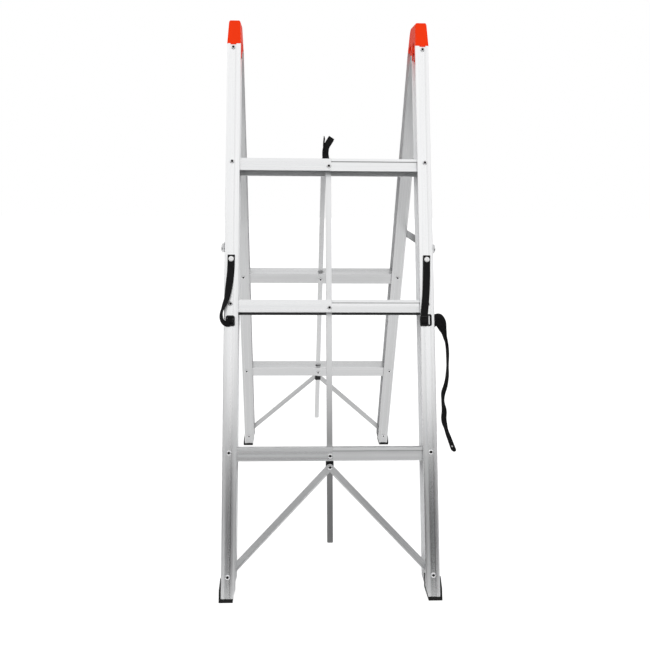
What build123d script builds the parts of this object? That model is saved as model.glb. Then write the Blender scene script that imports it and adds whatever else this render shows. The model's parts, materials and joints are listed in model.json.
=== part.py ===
from build123d import *
import os
from math import atan2, cos, degrees, pi, radians, sin, sqrt, tan

os.makedirs("parts", exist_ok=True)

# A double-sided folding ladder, millimetres, +Z up.
# The origin is on the floor, midway between the four feet. +X is to the climber's right when
# facing the front side, and +Y runs from the front side to the rear side.
# Each side is drawn upright with the hinge axis at its own origin, then leaned into place.

# Stance
LEAN = 18.2               # each side leans this far from upright, degrees
HINGE_HEIGHT = 1100.0     # floor to hinge axis
HINGE_GAP = 4.0           # hinge plane to the inner face of a rail
PIVOT_SPAN = 412.0        # between the pivots of a left and a right rail
RUN_FIT = 0.05            # radial clearance of a pivot that turns
PLAY = 0.3                # clearance between faces that pass each other

# Rails, C-channels that open inward
RAIL_DEPTH = 44.0
RAIL_FLANGE = 29.5
RAIL_WALL = 1.8
PIVOT_INSET = 13.5        # outer face of the web to the pivots
RAIL_TOP_DROP = 9.2       # hinge axis down to the rail's top end
GROOVE_WIDTH = 13.0       # shallow groove along each flange, on the rivet line
GROOVE_DEPTH = 0.5
TOE_CUT = 5.0             # the flanges' lower inner corners are cut back
TOE_RISE = 18.0

# Feet, rubber boots
SOLE = 6.5
BOOT_WALL = 3.5           # boot wall over the outer face of the web
BOOT_TIP = 1.0            # thickness of that wall at its top
BOOT_RISE = 46.0          # floor to the top of that wall, along the rail
BOOT_PLUG_RISE = 27.0     # floor to the top of the plug inside the channel
BOOT_LIP = 1.0            # sole beyond the rail's faces

# Rungs, inverted U-sections in two halves; the inner half nests in the outer half when folded
RUNG_COUNT = 3
RUNG_PITCH = 304.8
FIRST_RUNG = 291.5        # floor to the lowest rail pivot, along the climbing face
RUNG_HEIGHT = 26.5
RUNG_WALL = 1.6
TREAD_WALL = 2.0
RUNG_SIDE_GAP = 2.7       # between a flange and the outer half's web
PIVOT_BELOW_TREAD = 9.0
CENTER_DROP = 7.5         # centre pivots lie this much lower than the rail pivots
RUNG_TAIL = 6.5           # half rung beyond its rail pivot
SEAM = 5.0                # outer half ends this far past the centre
TONGUE = 9.0              # inner half's web ends this far past the centre
NOSING = 6.0              # height of the inner half's full-depth top
NOSING_STOP = 7.5         # nosing ends this far short of the rail pivot
RIB_COUNT = 5             # anti-slip grooves along the tread
RIB_WIDTH = 2.4
RIB_DEPTH = 0.6

# Centre bar, collar and braces
BAR_WIDTH = 12.0
BAR_THICK = 5.0
BAR_CORNER = 2.0          # cut of the bar's and the collar's corners
BAR_OFFSET = 4.0          # bar centre behind the middle of the rail's depth
BAR_TAIL = 108.0          # floor to the bar's lower end, along the climbing face
BAR_ABOVE_TREAD = 8.0
BAR_SLOT_PLAY = 1.5
COLLAR_WIDTH = 16.0
COLLAR_WALL = 2.2
COLLAR_HEIGHT = 21.5
COLLAR_DROP = 24.0        # lowest centre pivot down to the collar rivet
COLLAR_RIVET_UP = 9.0     # collar's lower end to its rivet
BRACE_PIVOT = 48.5        # floor to the brace pivots, along the climbing face
BRACE_WIDTH = 14.0
BRACE_WALL = 1.6
BRACE_LIP = 5.0
BRACE_EYE = 18.0          # flat length at each end of a brace

# Rivets, bolts and studs; their heads and holes are drawn with flats
ROUND_SIDES = 8
RIVET_R = 3.2
HEAD_R = 5.0
HEAD_CROWN_R = 3.6        # flat top of a head
HEAD_HEIGHT = 2.2
SHOULDER_R = 3.0          # shoulder of an open brace pivot, across its flats

# Hinge caps and pins
CAP_RISE = 56.0           # hinge axis to the flat top
CAP_SIDE_TAPER = 4.5      # outer cheek leans in this much at the top
CAP_INNER_TAPER = 1.5     # inner cheek leans out this much at the top
CAP_EDGE = 2.5            # rounding of the hood
CAP_INSET = 0.3           # cheek set back from the flange edge
CAP_PLUG = 25.0           # plug length inside the rail
CAP_PLUG_PAST = 7.0       # plug beyond the cap rivet, towards the inside
CAP_LEG = 43.0            # length of a front cap's leg along the climbing flange
CAP_LEG_THICK = 4.6
CAP_RIVET_DROP = 8.5      # rail's top end to the cap rivet
KNUCKLE_R = 8.0
TONGUE_SHARE = 0.46       # share of the cap's width taken by the rear cap's knuckle
HINGE_PIN_R = 3.0
PIN_INSET = 1.5           # pin's ends inside the cheeks
STRAP_POCKET = 18.0       # height of the pocket that takes a folded pull strap

# Spreader, two flat links on each outer face
SPREADER_HEIGHT = 675.0   # floor to the links
LINK_WIDTH = 18.0
LINK_THICK = 2.5
BOLT_R = 3.0
BOLT_HEAD_R = 6.5
BOLT_CROWN_R = 4.0        # flat top of a bolt head
BOLT_HEAD_HEIGHT = 2.6
SPACER_R = 6.0            # spacer under an outer link, across its flats

# Webbing, studs and buckles
WEB_WIDTH = 15.0
WEB_THICK = 1.4
PULL_WIDTH = 14.0
PULL_RISE = 40.0          # strap above the bar's top
PULL_GRIP = 6.3           # strap's hold on the bar
STUD_HEIGHT = 690.0       # floor to the strap studs, along the climbing face
STUD_R = 5.6
STUD_SHOULDER_R = 5.0     # half-way up the dome
STUD_CROWN_R = 2.8        # flat top of the dome
STUD_DOME = 2.6
STUD_SHANK_R = 2.4
BEND_SHARE = 0.45         # share of a run that the bend at its end may take
BUCKLE_WIDTH = 24.0
BUCKLE_HEIGHT = 21.0
BUCKLE_THICK = 5.0
BUCKLE_RIM = 3.0
BUCKLE_DROP = 130.0       # stud down to the buckle's middle
LOOSE_INSET = 13.6        # loose strap behind the climbing face

# Worked out from the sizes above
SIN = sin(radians(LEAN))
COS = cos(radians(LEAN))
HALF = PIVOT_SPAN / 2
RAIL_OUTER = HALF + PIVOT_INSET
RAIL_EDGE = RAIL_OUTER - RAIL_FLANGE
WEB_INSIDE = RAIL_OUTER - RAIL_WALL
FACE = -(HINGE_GAP + RAIL_DEPTH)
MIDDLE = -(HINGE_GAP + RAIL_DEPTH / 2)
CHANNEL = RAIL_DEPTH / 2 - RAIL_WALL
FLOOR_TO_HINGE = (HINGE_HEIGHT - FACE * SIN) / COS
RAIL_TOP = -RAIL_TOP_DROP
OUTER_WEB = CHANNEL - RUNG_SIDE_GAP
INNER_WEB = OUTER_WEB - RUNG_WALL - PLAY
TREAD_UP = PIVOT_BELOW_TREAD + CENTER_DROP
WEB_DOWN = RUNG_HEIGHT - TREAD_UP
BAR_FRONT = BAR_THICK / 2 - BAR_OFFSET
BAR_BACK = BAR_FRONT - BAR_THICK
COLLAR_RIVET = FIRST_RUNG - CENTER_DROP - COLLAR_DROP   # from the floor, along the climbing face
COLLAR_FRONT = BAR_FRONT + PLAY + COLLAR_WALL
COLLAR_BACK = BAR_BACK - PLAY - COLLAR_WALL
BRACE_A = COLLAR_FRONT + PLAY
BRACE_B = BRACE_A + BRACE_LIP + PLAY
LINK_REAR_X = RAIL_OUTER + PLAY
LINK_FRONT_X = LINK_REAR_X + LINK_THICK + PLAY
CAP_RIVET = RAIL_TOP - CAP_RIVET_DROP
STRAP_LIFT = HEAD_HEIGHT - GROOVE_DEPTH + PLAY
ROUND_SHARE = 1 - sqrt(0.5)   # a corner's flats meet this share of the cut in from its sides
FRONT = Location((0, 0, HINGE_HEIGHT), (-LEAN, 0, 0))
REAR = Location((0, 0, 0), (0, 0, 180)) * FRONT


def along(height):
    """Upright-frame height of a place measured from the floor along the climbing face."""
    return height - FLOOR_TO_HINGE


def deep(forward):
    """Upright-frame y of a place this far in front of the middle of the rail's depth."""
    return MIDDLE - forward


def block(x, y, z):
    """Box between two limits on each axis, given in either order."""
    size = [abs(b - a) for a, b in (x, y, z)]
    return Pos(sum(x) / 2, sum(y) / 2, sum(z) / 2) * Box(*size)


def eased(outline, cuts):
    """Outline with each corner cut back by its own length, by two flats that follow a round."""
    points = []
    for k, cut in enumerate(cuts):
        corner = Vector(*outline[k])
        back = (Vector(*outline[k - 1]) - corner).normalized() * cut
        onward = (Vector(*outline[(k + 1) % len(outline)]) - corner).normalized() * cut
        flats = [corner + back, corner + (back + onward) * ROUND_SHARE, corner + onward]
        points += flats if cut else [corner]
    return [(point.X, point.Y) for point in points]


def plate(outline, y):
    """Plate with an outline in x and z, between two y limits."""
    corners = [(a, min(y), b) for a, b in outline]
    return extrude(make_face(Polyline(*corners, close=True)), amount=abs(y[1] - y[0]), dir=(0, 1, 0))


def cheek(outline, x):
    """Plate with an outline in y and z, between two x limits."""
    corners = [(min(x), a, b) for a, b in outline]
    return extrude(make_face(Polyline(*corners, close=True)), amount=abs(x[1] - x[0]), dir=(1, 0, 0))


def rod(radius, low, high):
    """Bar about Z between two heights, its flats just outside the given radius."""
    ring = RegularPolygon(radius, ROUND_SIDES, major_radius=False)
    return Pos(0, 0, low) * extrude(ring, amount=high - low)


def shank(radius, low, high):
    """Bar about Z between two heights that a piece turns on, its corners at the given radius."""
    return Pos(0, 0, low) * extrude(RegularPolygon(radius, ROUND_SIDES), amount=high - low)


def bore(radius, at, y):
    """Hole along y at (x, z), between two y limits."""
    return Pos(at[0], max(y), at[1]) * Rot(90, 0, 0) * rod(radius, 0, abs(y[1] - y[0]))


def cross_bore(radius, at, x):
    """Hole along x at (y, z), between two x limits."""
    return Pos(min(x), at[0], at[1]) * Rot(0, 90, 0) * rod(radius, 0, abs(x[1] - x[0]))


def axle(radius, x):
    """Round bar along the hinge axis, between two x limits."""
    return Pos(sum(x) / 2, 0, 0) * Rot(0, 90, 0) * Cylinder(radius, abs(x[1] - x[0]))


def button(radius, crown, height, seat):
    """Tapered head about Z that stands on a seat at the given height."""
    slope = degrees(atan2((radius - crown) * cos(pi / ROUND_SIDES), height))
    return Pos(0, 0, seat) * extrude(RegularPolygon(radius, ROUND_SIDES), amount=height, taper=slope)


def head(seat):
    """Rivet head on a seat at the given height."""
    return button(HEAD_R, HEAD_CROWN_R, HEAD_HEIGHT, seat)


def facing(at):
    """Place of a rivet turned about Z: its axis points to the climbing face at (x, z)."""
    return Pos(at[0], MIDDLE, at[1]) * Rot(90, 0, 0)


def floor_slab(low, high):
    """Level slab between two heights above the floor, in the upright frame of one side."""
    reach = 2 * HINGE_HEIGHT
    return FRONT.inverse() * block((-reach, reach), (-reach, reach), (low, high))


def rung_levels():
    """Heights of the rail pivots in the upright frame."""
    return [along(FIRST_RUNG + k * RUNG_PITCH) for k in range(RUNG_COUNT)]


def bolt_level():
    """Height of the spreader bolts in the upright frame."""
    return (SPREADER_HEIGHT - HINGE_HEIGHT + MIDDLE * SIN) / COS


def rail(s):
    """C-channel rail: s is -1 for the left and 1 for the right."""
    low = along(-RAIL_DEPTH)
    body = block((s * RAIL_EDGE, s * RAIL_OUTER), (FACE, -HINGE_GAP), (low, RAIL_TOP))
    reach = RAIL_EDGE - RAIL_WALL
    body -= block((s * reach, s * WEB_INSIDE), (deep(CHANNEL), deep(-CHANNEL)), (low, RAIL_TOP))
    line = (s * (HALF - GROOVE_WIDTH / 2), s * (HALF + GROOVE_WIDTH / 2))
    body -= block(line, (FACE, FACE + GROOVE_DEPTH), (low, RAIL_TOP))
    body -= block(line, (-HINGE_GAP - GROOVE_DEPTH, -HINGE_GAP), (low, RAIL_TOP))
    body -= floor_slab(-HINGE_HEIGHT, SOLE)
    toe = [(s * RAIL_EDGE, SOLE + TOE_RISE), (s * (RAIL_EDGE + TOE_CUT), SOLE), (s * RAIL_EDGE, SOLE)]
    body -= FRONT.inverse() * plate(toe, (-HINGE_HEIGHT, HINGE_HEIGHT))
    for z in rung_levels() + [CAP_RIVET, along(BRACE_PIVOT)]:
        body -= bore(RIVET_R + RUN_FIT, (s * HALF, z), (FACE, -HINGE_GAP))
    body -= cross_bore(BOLT_R + RUN_FIT, (MIDDLE, bolt_level()), (s * WEB_INSIDE, s * RAIL_OUTER))
    return body


def foot(s):
    """Rubber boot: a flat sole, a plug in the channel and a wall over the outer face of the web."""
    outer = RAIL_OUTER + BOOT_WALL
    inner = RAIL_EDGE + TOE_CUT
    ends = (along(-RAIL_DEPTH), along(RAIL_DEPTH + BOOT_RISE))
    sole = block((s * inner, s * outer), (FACE - BOOT_LIP, BOOT_LIP - HINGE_GAP), ends)
    plug = block((s * inner, s * WEB_INSIDE), (deep(CHANNEL - PLAY / 2), deep(PLAY / 2 - CHANNEL)), ends)
    flank = [
        (s * RAIL_OUTER, along(-RAIL_DEPTH)),
        (s * outer, along(-RAIL_DEPTH)),
        (s * outer, along(BOOT_RISE / 2)),
        (s * (RAIL_OUTER + BOOT_TIP), along(BOOT_RISE)),
        (s * RAIL_OUTER, along(BOOT_RISE)),
    ]
    body = sole & floor_slab(0, SOLE)
    body += plug & floor_slab(0, BOOT_PLUG_RISE)
    body += plate(flank, (FACE, -HINGE_GAP)) - floor_slab(-HINGE_HEIGHT, 0)
    return body


def cap_profile():
    """Side outline of the front cap's hood, in y and z, hinge axis at zero."""
    play = PLAY / 2
    top_front = (CAP_RISE + FACE * SIN) / COS
    return [
        (FACE, RAIL_TOP),
        (FACE, top_front),
        (-play * COS - CAP_RISE * SIN, CAP_RISE * COS - play * SIN),
        (-play * COS, -play * SIN),
        (-HINGE_GAP, -HINGE_GAP),
        (-HINGE_GAP, RAIL_TOP),
    ]


def hinge_cap(s, tongue):
    """Moulded cap: a hood over the rail's end, a plug in the channel and hinge knuckles.

    A front cap also has a leg along the climbing flange.
    """
    inner = RAIL_EDGE + CAP_INSET
    width = RAIL_OUTER - inner
    hood = cheek(cap_profile(), (s * inner, s * RAIL_OUTER))
    top = CAP_RISE * COS
    sides = [
        (s * RAIL_OUTER, RAIL_TOP),
        (s * (RAIL_OUTER - CAP_SIDE_TAPER), top),
        (s * (inner + CAP_INNER_TAPER), top),
        (s * inner, RAIL_TOP),
    ]
    hood = hood & plate(sides, (FACE, -FACE))
    rims = hood.edges().filter_by(Axis.Y, reverse=True).group_by(Axis.Z)[-1]
    hood = fillet(rims, CAP_EDGE)
    core = (inner + width * (1 - TONGUE_SHARE) / 2, inner + width * (1 + TONGUE_SHARE) / 2)
    leaves = [core] if tongue else [(inner, core[0] - PLAY), (core[1] + PLAY, RAIL_OUTER)]
    others = [(inner, core[0]), (core[1], RAIL_OUTER)] if tongue else [(core[0] - PLAY, core[1] + PLAY)]
    for a, b in others:
        hood -= axle(KNUCKLE_R + PLAY, (s * a, s * b))
    for a, b in leaves:
        arm = [(-HINGE_GAP, RAIL_TOP), (FACE / 2, RAIL_TOP), (FACE / 2, 0), (0, 0)]
        hood += axle(KNUCKLE_R, (s * a, s * b)) + cheek(arm, (s * a, s * b))
    hood -= cross_bore(HINGE_PIN_R + RUN_FIT, (0, 0), (s * inner, s * RAIL_OUTER))
    pocket_x = (s * inner, s * (HALF - CAP_PLUG_PAST))
    pocket_y = (deep(BAR_FRONT + PULL_GRIP), deep(BAR_BACK - PULL_GRIP))
    hood -= block(pocket_x, pocket_y, (RAIL_TOP, RAIL_TOP + STRAP_POCKET))
    snug = CHANNEL - PLAY / 2
    plug = block((s * (HALF - CAP_PLUG_PAST), s * WEB_INSIDE), (deep(snug), deep(-snug)),
                 (RAIL_TOP - CAP_PLUG, RAIL_TOP))
    body = hood + plug
    if not tongue:
        body += block((s * inner, s * WEB_INSIDE), (deep(snug), deep(snug - CAP_LEG_THICK)),
                      (RAIL_TOP - CAP_LEG, RAIL_TOP))
    return body - bore(RIVET_R + RUN_FIT, (s * HALF, CAP_RIVET), (FACE, 0))


def hinge_pin(s):
    """Pin through the knuckles of a front and a rear cap."""
    inner = RAIL_EDGE + CAP_INSET + PIN_INSET
    return axle(HINGE_PIN_R, (s * inner, s * (RAIL_OUTER - PIN_INSET)))


def through_rivet(core, seat):
    """Rivet with a head at each end, whose seats lie this far from the middle of the rail's depth."""
    return core(RIVET_R, -seat, seat) + head(seat) + Rot(180, 0, 0) * head(seat)


def stub_rivet(out, reach):
    """Half of an open pivot: a head outside one flange and a shoulder that stops at reach."""
    seat = RAIL_DEPTH / 2 - GROOVE_DEPTH
    body = rod(SHOULDER_R, out * reach, seat) + head(seat)
    return body if out > 0 else Rot(180, 0, 0) * body


def spreader_bolt(s, front):
    """Bolt through the web that carries a spreader link, with a spacer under the outer link."""
    link = LINK_FRONT_X if front else LINK_REAR_X
    face = link + LINK_THICK + PLAY / 2
    body = shank(BOLT_R, WEB_INSIDE, face) + button(BOLT_HEAD_R, BOLT_CROWN_R, BOLT_HEAD_HEIGHT, face)
    if front:
        body += rod(SPACER_R, RAIL_OUTER, link - PLAY / 2)
    return Pos(0, MIDDLE, bolt_level()) * Rot(0, s * 90, 0) * body


def rail_rivets(s, front):
    """Every rivet that one rail carries: rungs, cap, open brace pivot and spreader bolt."""
    seat = RAIL_DEPTH / 2 - GROOVE_DEPTH
    parts = [facing((s * HALF, z)) * through_rivet(shank, seat) for z in rung_levels()]
    parts.append(facing((s * HALF, CAP_RIVET)) * through_rivet(rod, seat))
    flat = BRACE_A if s < 0 else BRACE_B
    at = facing((s * HALF, along(BRACE_PIVOT)))
    parts.append(at * stub_rivet(1, flat + BRACE_WALL + PLAY))
    parts.append(at * stub_rivet(-1, flat - PLAY))
    parts.append(spreader_bolt(s, front))
    return Compound(children=parts)


def tread(start, stop, z):
    """Ribbed tread between two x limits, its top at z."""
    top = block((start, stop), (deep(OUTER_WEB), deep(-OUTER_WEB)), (z - TREAD_WALL, z))
    pitch = 2 * OUTER_WEB / (RIB_COUNT + 1)
    for k in range(RIB_COUNT):
        at = deep((k + 1) * pitch - OUTER_WEB)
        top -= block((start, stop), (at - RIB_WIDTH / 2, at + RIB_WIDTH / 2), (z - RIB_DEPTH, z))
    return top


def bar_slot(z):
    """Slot in a tread for the centre bar."""
    reach = BAR_WIDTH / 2 + BAR_SLOT_PLAY
    depth = (deep(BAR_FRONT + BAR_SLOT_PLAY), deep(BAR_BACK - BAR_SLOT_PLAY))
    return block((-reach, reach), depth, (z - RUNG_HEIGHT, z + RUNG_HEIGHT))


def outer_half_rung(level):
    """Left half rung: the wider U, whose webs cover the centre."""
    center = level - CENTER_DROP
    top = center + TREAD_UP
    tail = -(HALF + RUNG_TAIL)
    body = tread(tail, SEAM, top)
    low = center - WEB_DOWN
    outline = [(tail, top - TREAD_WALL), (SEAM, top - TREAD_WALL), (SEAM, low), (tail, low)]
    web = eased(outline, [0, 0, SEAM, RUNG_TAIL])
    for face in (OUTER_WEB, RUNG_WALL - OUTER_WEB):
        body += plate(web, (deep(face), deep(face - RUNG_WALL)))
    body -= bar_slot(top)
    for at in ((-HALF, level), (0, center)):
        body -= bore(RIVET_R + RUN_FIT, at, (deep(OUTER_WEB), deep(-OUTER_WEB)))
    return body


def inner_half_rung(level):
    """Right half rung: the narrower U under a full-depth nosing, with a tongue past the centre."""
    center = level - CENTER_DROP
    top = center + TREAD_UP
    tail = HALF + RUNG_TAIL
    start = SEAM + PLAY
    body = tread(start, tail, top)
    low = center - WEB_DOWN
    outline = [
        (-TONGUE, center + TONGUE),
        (start, center + TONGUE),
        (start, top - TREAD_WALL),
        (tail, top - TREAD_WALL),
        (tail, low),
        (-TONGUE, low),
    ]
    web = eased(outline, [TONGUE - PLAY, 0, 0, 0, RUNG_TAIL, TONGUE - PLAY])
    for sign in (1, -1):
        body += plate(web, (deep(sign * INNER_WEB), deep(sign * (INNER_WEB - RUNG_WALL))))
        lip = (deep(sign * OUTER_WEB), deep(sign * (INNER_WEB - RUNG_WALL)))
        body += block((start, HALF - NOSING_STOP), lip, (top - NOSING, top - TREAD_WALL))
    body -= bar_slot(top)
    for at in ((HALF, level), (0, center)):
        body -= bore(RIVET_R + RUN_FIT, at, (deep(OUTER_WEB), deep(-OUTER_WEB)))
    return body


def center_bar():
    """Flat bar through the middle of the rungs, which folds them when it is pulled up."""
    levels = [z - CENTER_DROP for z in rung_levels()]
    top = levels[-1] + TREAD_UP + BAR_ABOVE_TREAD
    half = BAR_WIDTH / 2
    outline = [(-half, along(BAR_TAIL)), (half, along(BAR_TAIL)), (half, top), (-half, top)]
    body = plate(eased(outline, [BAR_CORNER] * 4), (deep(BAR_FRONT), deep(BAR_BACK)))
    for z in levels:
        body -= bore(RIVET_R + RUN_FIT, (0, z), (deep(BAR_FRONT), deep(BAR_BACK)))
    return body


def slider_collar():
    """Plastic collar that slides on the bar and carries the braces."""
    low = along(COLLAR_RIVET - COLLAR_RIVET_UP)
    half = COLLAR_WIDTH / 2
    outline = [(-half, low), (half, low), (half, low + COLLAR_HEIGHT), (-half, low + COLLAR_HEIGHT)]
    body = plate(eased(outline, [BAR_CORNER] * 4), (deep(COLLAR_FRONT), deep(COLLAR_BACK)))
    way = BAR_WIDTH / 2 + PLAY
    body -= block((-way, way), (deep(BAR_FRONT + PLAY), deep(BAR_BACK - PLAY)), (low, low + COLLAR_HEIGHT))
    wall = (deep(COLLAR_FRONT), deep(BAR_FRONT + PLAY))
    return body - bore(RIVET_R + RUN_FIT, (0, along(COLLAR_RIVET)), wall)


def collar_rivet():
    """Rivet in the collar's front wall that both braces turn on."""
    seat = BRACE_B + BRACE_WALL + RUN_FIT
    return facing((0, along(COLLAR_RIVET))) * (shank(RIVET_R, BAR_FRONT + PLAY, seat) + head(seat))


def brace(s):
    """Diagonal angle-section brace from a rail's foot up to the collar."""
    foot_at = Vector(s * HALF, along(BRACE_PIVOT))
    run = Vector(0, along(COLLAR_RIVET)) - foot_at
    length = run.length
    ahead = run.normalized()
    across = Vector(-ahead.Y, ahead.X) * s
    flat = BRACE_A if s < 0 else BRACE_B
    half = BRACE_WIDTH / 2

    def spot(u, v):
        p = foot_at + ahead * u + across * v
        return (p.X, p.Y)

    ends = [spot(-half, -half), spot(length + half, -half), spot(length + half, half), spot(-half, half)]
    body = plate(eased(ends, [half - PLAY] * 4), (deep(flat), deep(flat + BRACE_WALL)))
    lip = [
        spot(BRACE_EYE, half - BRACE_WALL),
        spot(length - BRACE_EYE, half - BRACE_WALL),
        spot(length - BRACE_EYE, half),
        spot(BRACE_EYE, half),
    ]
    body += plate(lip, (deep(flat), deep(flat + BRACE_LIP)))
    for u in (0, length):
        body -= bore(RIVET_R + RUN_FIT, spot(u, 0), (deep(flat), deep(flat + BRACE_LIP)))
    return body


def pull_strap():
    """Doubled webbing that grips the top of the centre bar."""
    bar_top = rung_levels()[-1] + PIVOT_BELOW_TREAD + BAR_ABOVE_TREAD
    low = bar_top - PULL_GRIP
    front = BAR_FRONT + PLAY / 2
    back = BAR_BACK - PLAY / 2
    middle = (front + back) / 2
    neck = bar_top + BAR_THICK
    outline = [
        (deep(front), low),
        (deep(front + WEB_THICK), low),
        (deep(front + WEB_THICK), bar_top),
        (deep(middle + WEB_THICK), neck),
        (deep(middle + WEB_THICK), bar_top + PULL_RISE),
        (deep(middle - WEB_THICK), bar_top + PULL_RISE),
        (deep(middle - WEB_THICK), neck),
        (deep(back - WEB_THICK), bar_top),
        (deep(back - WEB_THICK), low),
        (deep(back), low),
        (deep(back), bar_top + PLAY / 2),
        (deep(front), bar_top + PLAY / 2),
    ]
    return cheek(outline, (-PULL_WIDTH / 2, PULL_WIDTH / 2))


def link(s, front):
    """Spreader link from a rail's bolt to the middle of the spreader, as it stands in use."""
    near = LINK_FRONT_X if front else LINK_REAR_X
    bolt_y = (MIDDLE * COS + bolt_level() * SIN) * (1 if front else -1)
    half = LINK_WIDTH / 2
    reach = bolt_y - half if front else bolt_y + half
    tip = half if front else -half
    low = SPREADER_HEIGHT - half
    high = SPREADER_HEIGHT + half
    corners = [(reach, low), (tip, low), (tip, high), (reach, high)]
    body = cheek(eased(corners, [half - PLAY] * 4), (near, near + LINK_THICK))
    body -= cross_bore(BOLT_R + RUN_FIT, (bolt_y, SPREADER_HEIGHT), (near, near + LINK_THICK))
    if front:
        body -= cross_bore(BOLT_R + RUN_FIT, (0, SPREADER_HEIGHT), (near, near + LINK_THICK))
    return body if s > 0 else mirror(body, about=Plane.YZ)


def knuckle_rivet(s):
    """Rivet head at the middle of a spreader, carried by the front link."""
    far = LINK_FRONT_X + LINK_THICK
    body = rod(BOLT_R, LINK_FRONT_X, far) + button(BOLT_HEAD_R, BOLT_CROWN_R, BOLT_HEAD_HEIGHT, far)
    return Pos(0, 0, SPREADER_HEIGHT) * Rot(0, s * 90, 0) * body


def ribbon(points, width, thick):
    """Flat webbing in the x, z plane, through points joined by the largest arcs that fit."""
    corners = [Vector(x, 0, z) for x, z in points]
    radii = []
    for before, corner, after in zip(corners, corners[1:], corners[2:]):
        turn = radians((corner - before).get_angle(after - corner))
        shorter = min((corner - before).length, (after - corner).length)
        radii.append(BEND_SHARE * shorter / tan(turn / 2))
    line = FilletPolyline(*corners, radius=radii)
    start = Plane(origin=line @ 0, x_dir=(0, 1, 0), z_dir=line % 0)
    body = sweep(start * Rectangle(thick, width), path=line)
    print(f"webbing length {line.length:.0f}, least bend {min(radii):.0f}, volume ratio "
          f"{body.volume / (line.length * width * thick):.3f}")
    return body


# The tie straps lie on the climbing face, from their studs to their buckles. Their points are x from
# the pivot line and the height from the stud. The loose strap's are x from the rail's outer face and
# the height above the floor.
TIES = {
    -1: [(0.5, 10), (0, -22), (-2, -58), (-5, -90), (-4, -118.5)],
    1: [(-0.5, 10), (-1, -22), (-0.4, -58), (-2, -90), (-5, -118.5)],
}
LOOSE = [
    (0, 535),
    (12.2, 535),
    (22.2, 527.5),
    (28.7, 513),
    (32.2, 491),
    (34.2, 464),
    (35.7, 436),
    (35.2, 408),
    (31.7, 381),
    (29.7, 354),
    (32.2, 327),
    (37.2, 300),
    (44.2, 275),
    (51.7, 254),
    (59.7, 235),
]


def tie_place(s):
    """Place of a tie strap's stud on the climbing face, in the upright frame."""
    return Pos(s * HALF, FACE, along(STUD_HEIGHT))


def tie_strap(s):
    """Webbing on the climbing face, with a hole for its stud."""
    body = Pos(0, -STRAP_LIFT - WEB_THICK / 2, 0) * ribbon(TIES[s], WEB_WIDTH, WEB_THICK)
    body -= bore(STUD_SHANK_R, (TIES[s][0][0], 0), (0, -WEB_WIDTH))
    return tie_place(s) * body


def stud(s):
    """Domed stud that holds a tie strap to the climbing flange."""
    seat = STRAP_LIFT + WEB_THICK
    step = STUD_DOME / 2
    body = rod(STUD_SHANK_R - RUN_FIT, -GROOVE_DEPTH, seat)
    body += button(STUD_R, STUD_SHOULDER_R, step, seat)
    body += button(STUD_SHOULDER_R, STUD_CROWN_R, step, seat + step)
    return tie_place(s) * Pos(TIES[s][0][0], 0, 0) * Rot(90, 0, 0) * body


def buckle(s):
    """Two-slot webbing buckle on the climbing face at the end of a tie strap."""
    half_w = BUCKLE_WIDTH / 2
    half_h = BUCKLE_HEIGHT / 2
    depth = (-PLAY - BUCKLE_THICK, -PLAY)
    outline = [(-half_w, -half_h), (half_w, -half_h), (half_w, half_h), (-half_w, half_h)]
    body = plate(eased(outline, [BUCKLE_RIM] * 4), depth)
    slot_h = (BUCKLE_HEIGHT - 3 * BUCKLE_RIM) / 2
    slot_w = half_w - BUCKLE_RIM
    for sign in (-1, 1):
        at = sign * (slot_h + BUCKLE_RIM) / 2
        body -= block((-slot_w, slot_w), depth, (at - slot_h / 2, at + slot_h / 2))
    return tie_place(s) * Pos(TIES[s][-1][0], 0, -BUCKLE_DROP) * body


def loose_strap():
    """Webbing that hangs from the right rail's outer face, level with a place on that face."""
    body = ribbon(LOOSE, WEB_WIDTH, WEB_THICK)
    y = (FACE + LOOSE_INSET + (LOOSE[0][1] - HINGE_HEIGHT) * SIN) / COS
    return Pos(RAIL_OUTER + PLAY, y, 0) * body


def ladder_side(name, place, tongue):
    """All pieces of one side, leaned into place; on the rear side left and right change over."""
    sides = {-1: "left", 1: "right"} if name == "front" else {-1: "right", 1: "left"}
    pieces = {}
    for s, word in sides.items():
        pieces[f"{word}_rail"] = rail(s)
        pieces[f"{word}_foot"] = foot(s)
        pieces[f"{word}_hinge_cap"] = hinge_cap(s, tongue)
        pieces[f"{word}_rail_rivets"] = rail_rivets(s, name == "front")
        pieces[f"{word}_brace"] = brace(s)
    for k, level in enumerate(rung_levels(), 1):
        pieces[f"outer_half_rung_{k}"] = outer_half_rung(level)
        pieces[f"inner_half_rung_{k}"] = inner_half_rung(level)
    pieces["center_bar"] = center_bar()
    seat = OUTER_WEB + RUN_FIT
    rivets = [facing((0, z - CENTER_DROP)) * through_rivet(shank, seat) for z in rung_levels()]
    pieces["center_rivets"] = Compound(children=rivets)
    pieces["slider_collar"] = slider_collar()
    pieces["collar_rivet"] = collar_rivet()
    pieces["pull_strap"] = pull_strap()
    return {f"{name}_{piece}": place * solid for piece, solid in pieces.items()}


nodes = {**ladder_side("front", FRONT, False), **ladder_side("rear", REAR, True)}
for s, word in ((-1, "left"), (1, "right")):
    nodes[f"{word}_hinge_pin"] = FRONT * hinge_pin(s)
    nodes[f"{word}_spreader_front_link"] = link(s, True)
    nodes[f"{word}_spreader_rear_link"] = link(s, False)
    nodes[f"{word}_spreader_rivet"] = knuckle_rivet(s)
    nodes[f"{word}_tie_strap"] = FRONT * tie_strap(s)
    nodes[f"{word}_strap_stud"] = FRONT * stud(s)
    nodes[f"{word}_strap_buckle"] = FRONT * buckle(s)
nodes["loose_strap"] = loose_strap()

for name, solid in nodes.items():
    export_step(solid, f"parts/{name}.step")

print(f"{len(nodes)} nodes")
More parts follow.
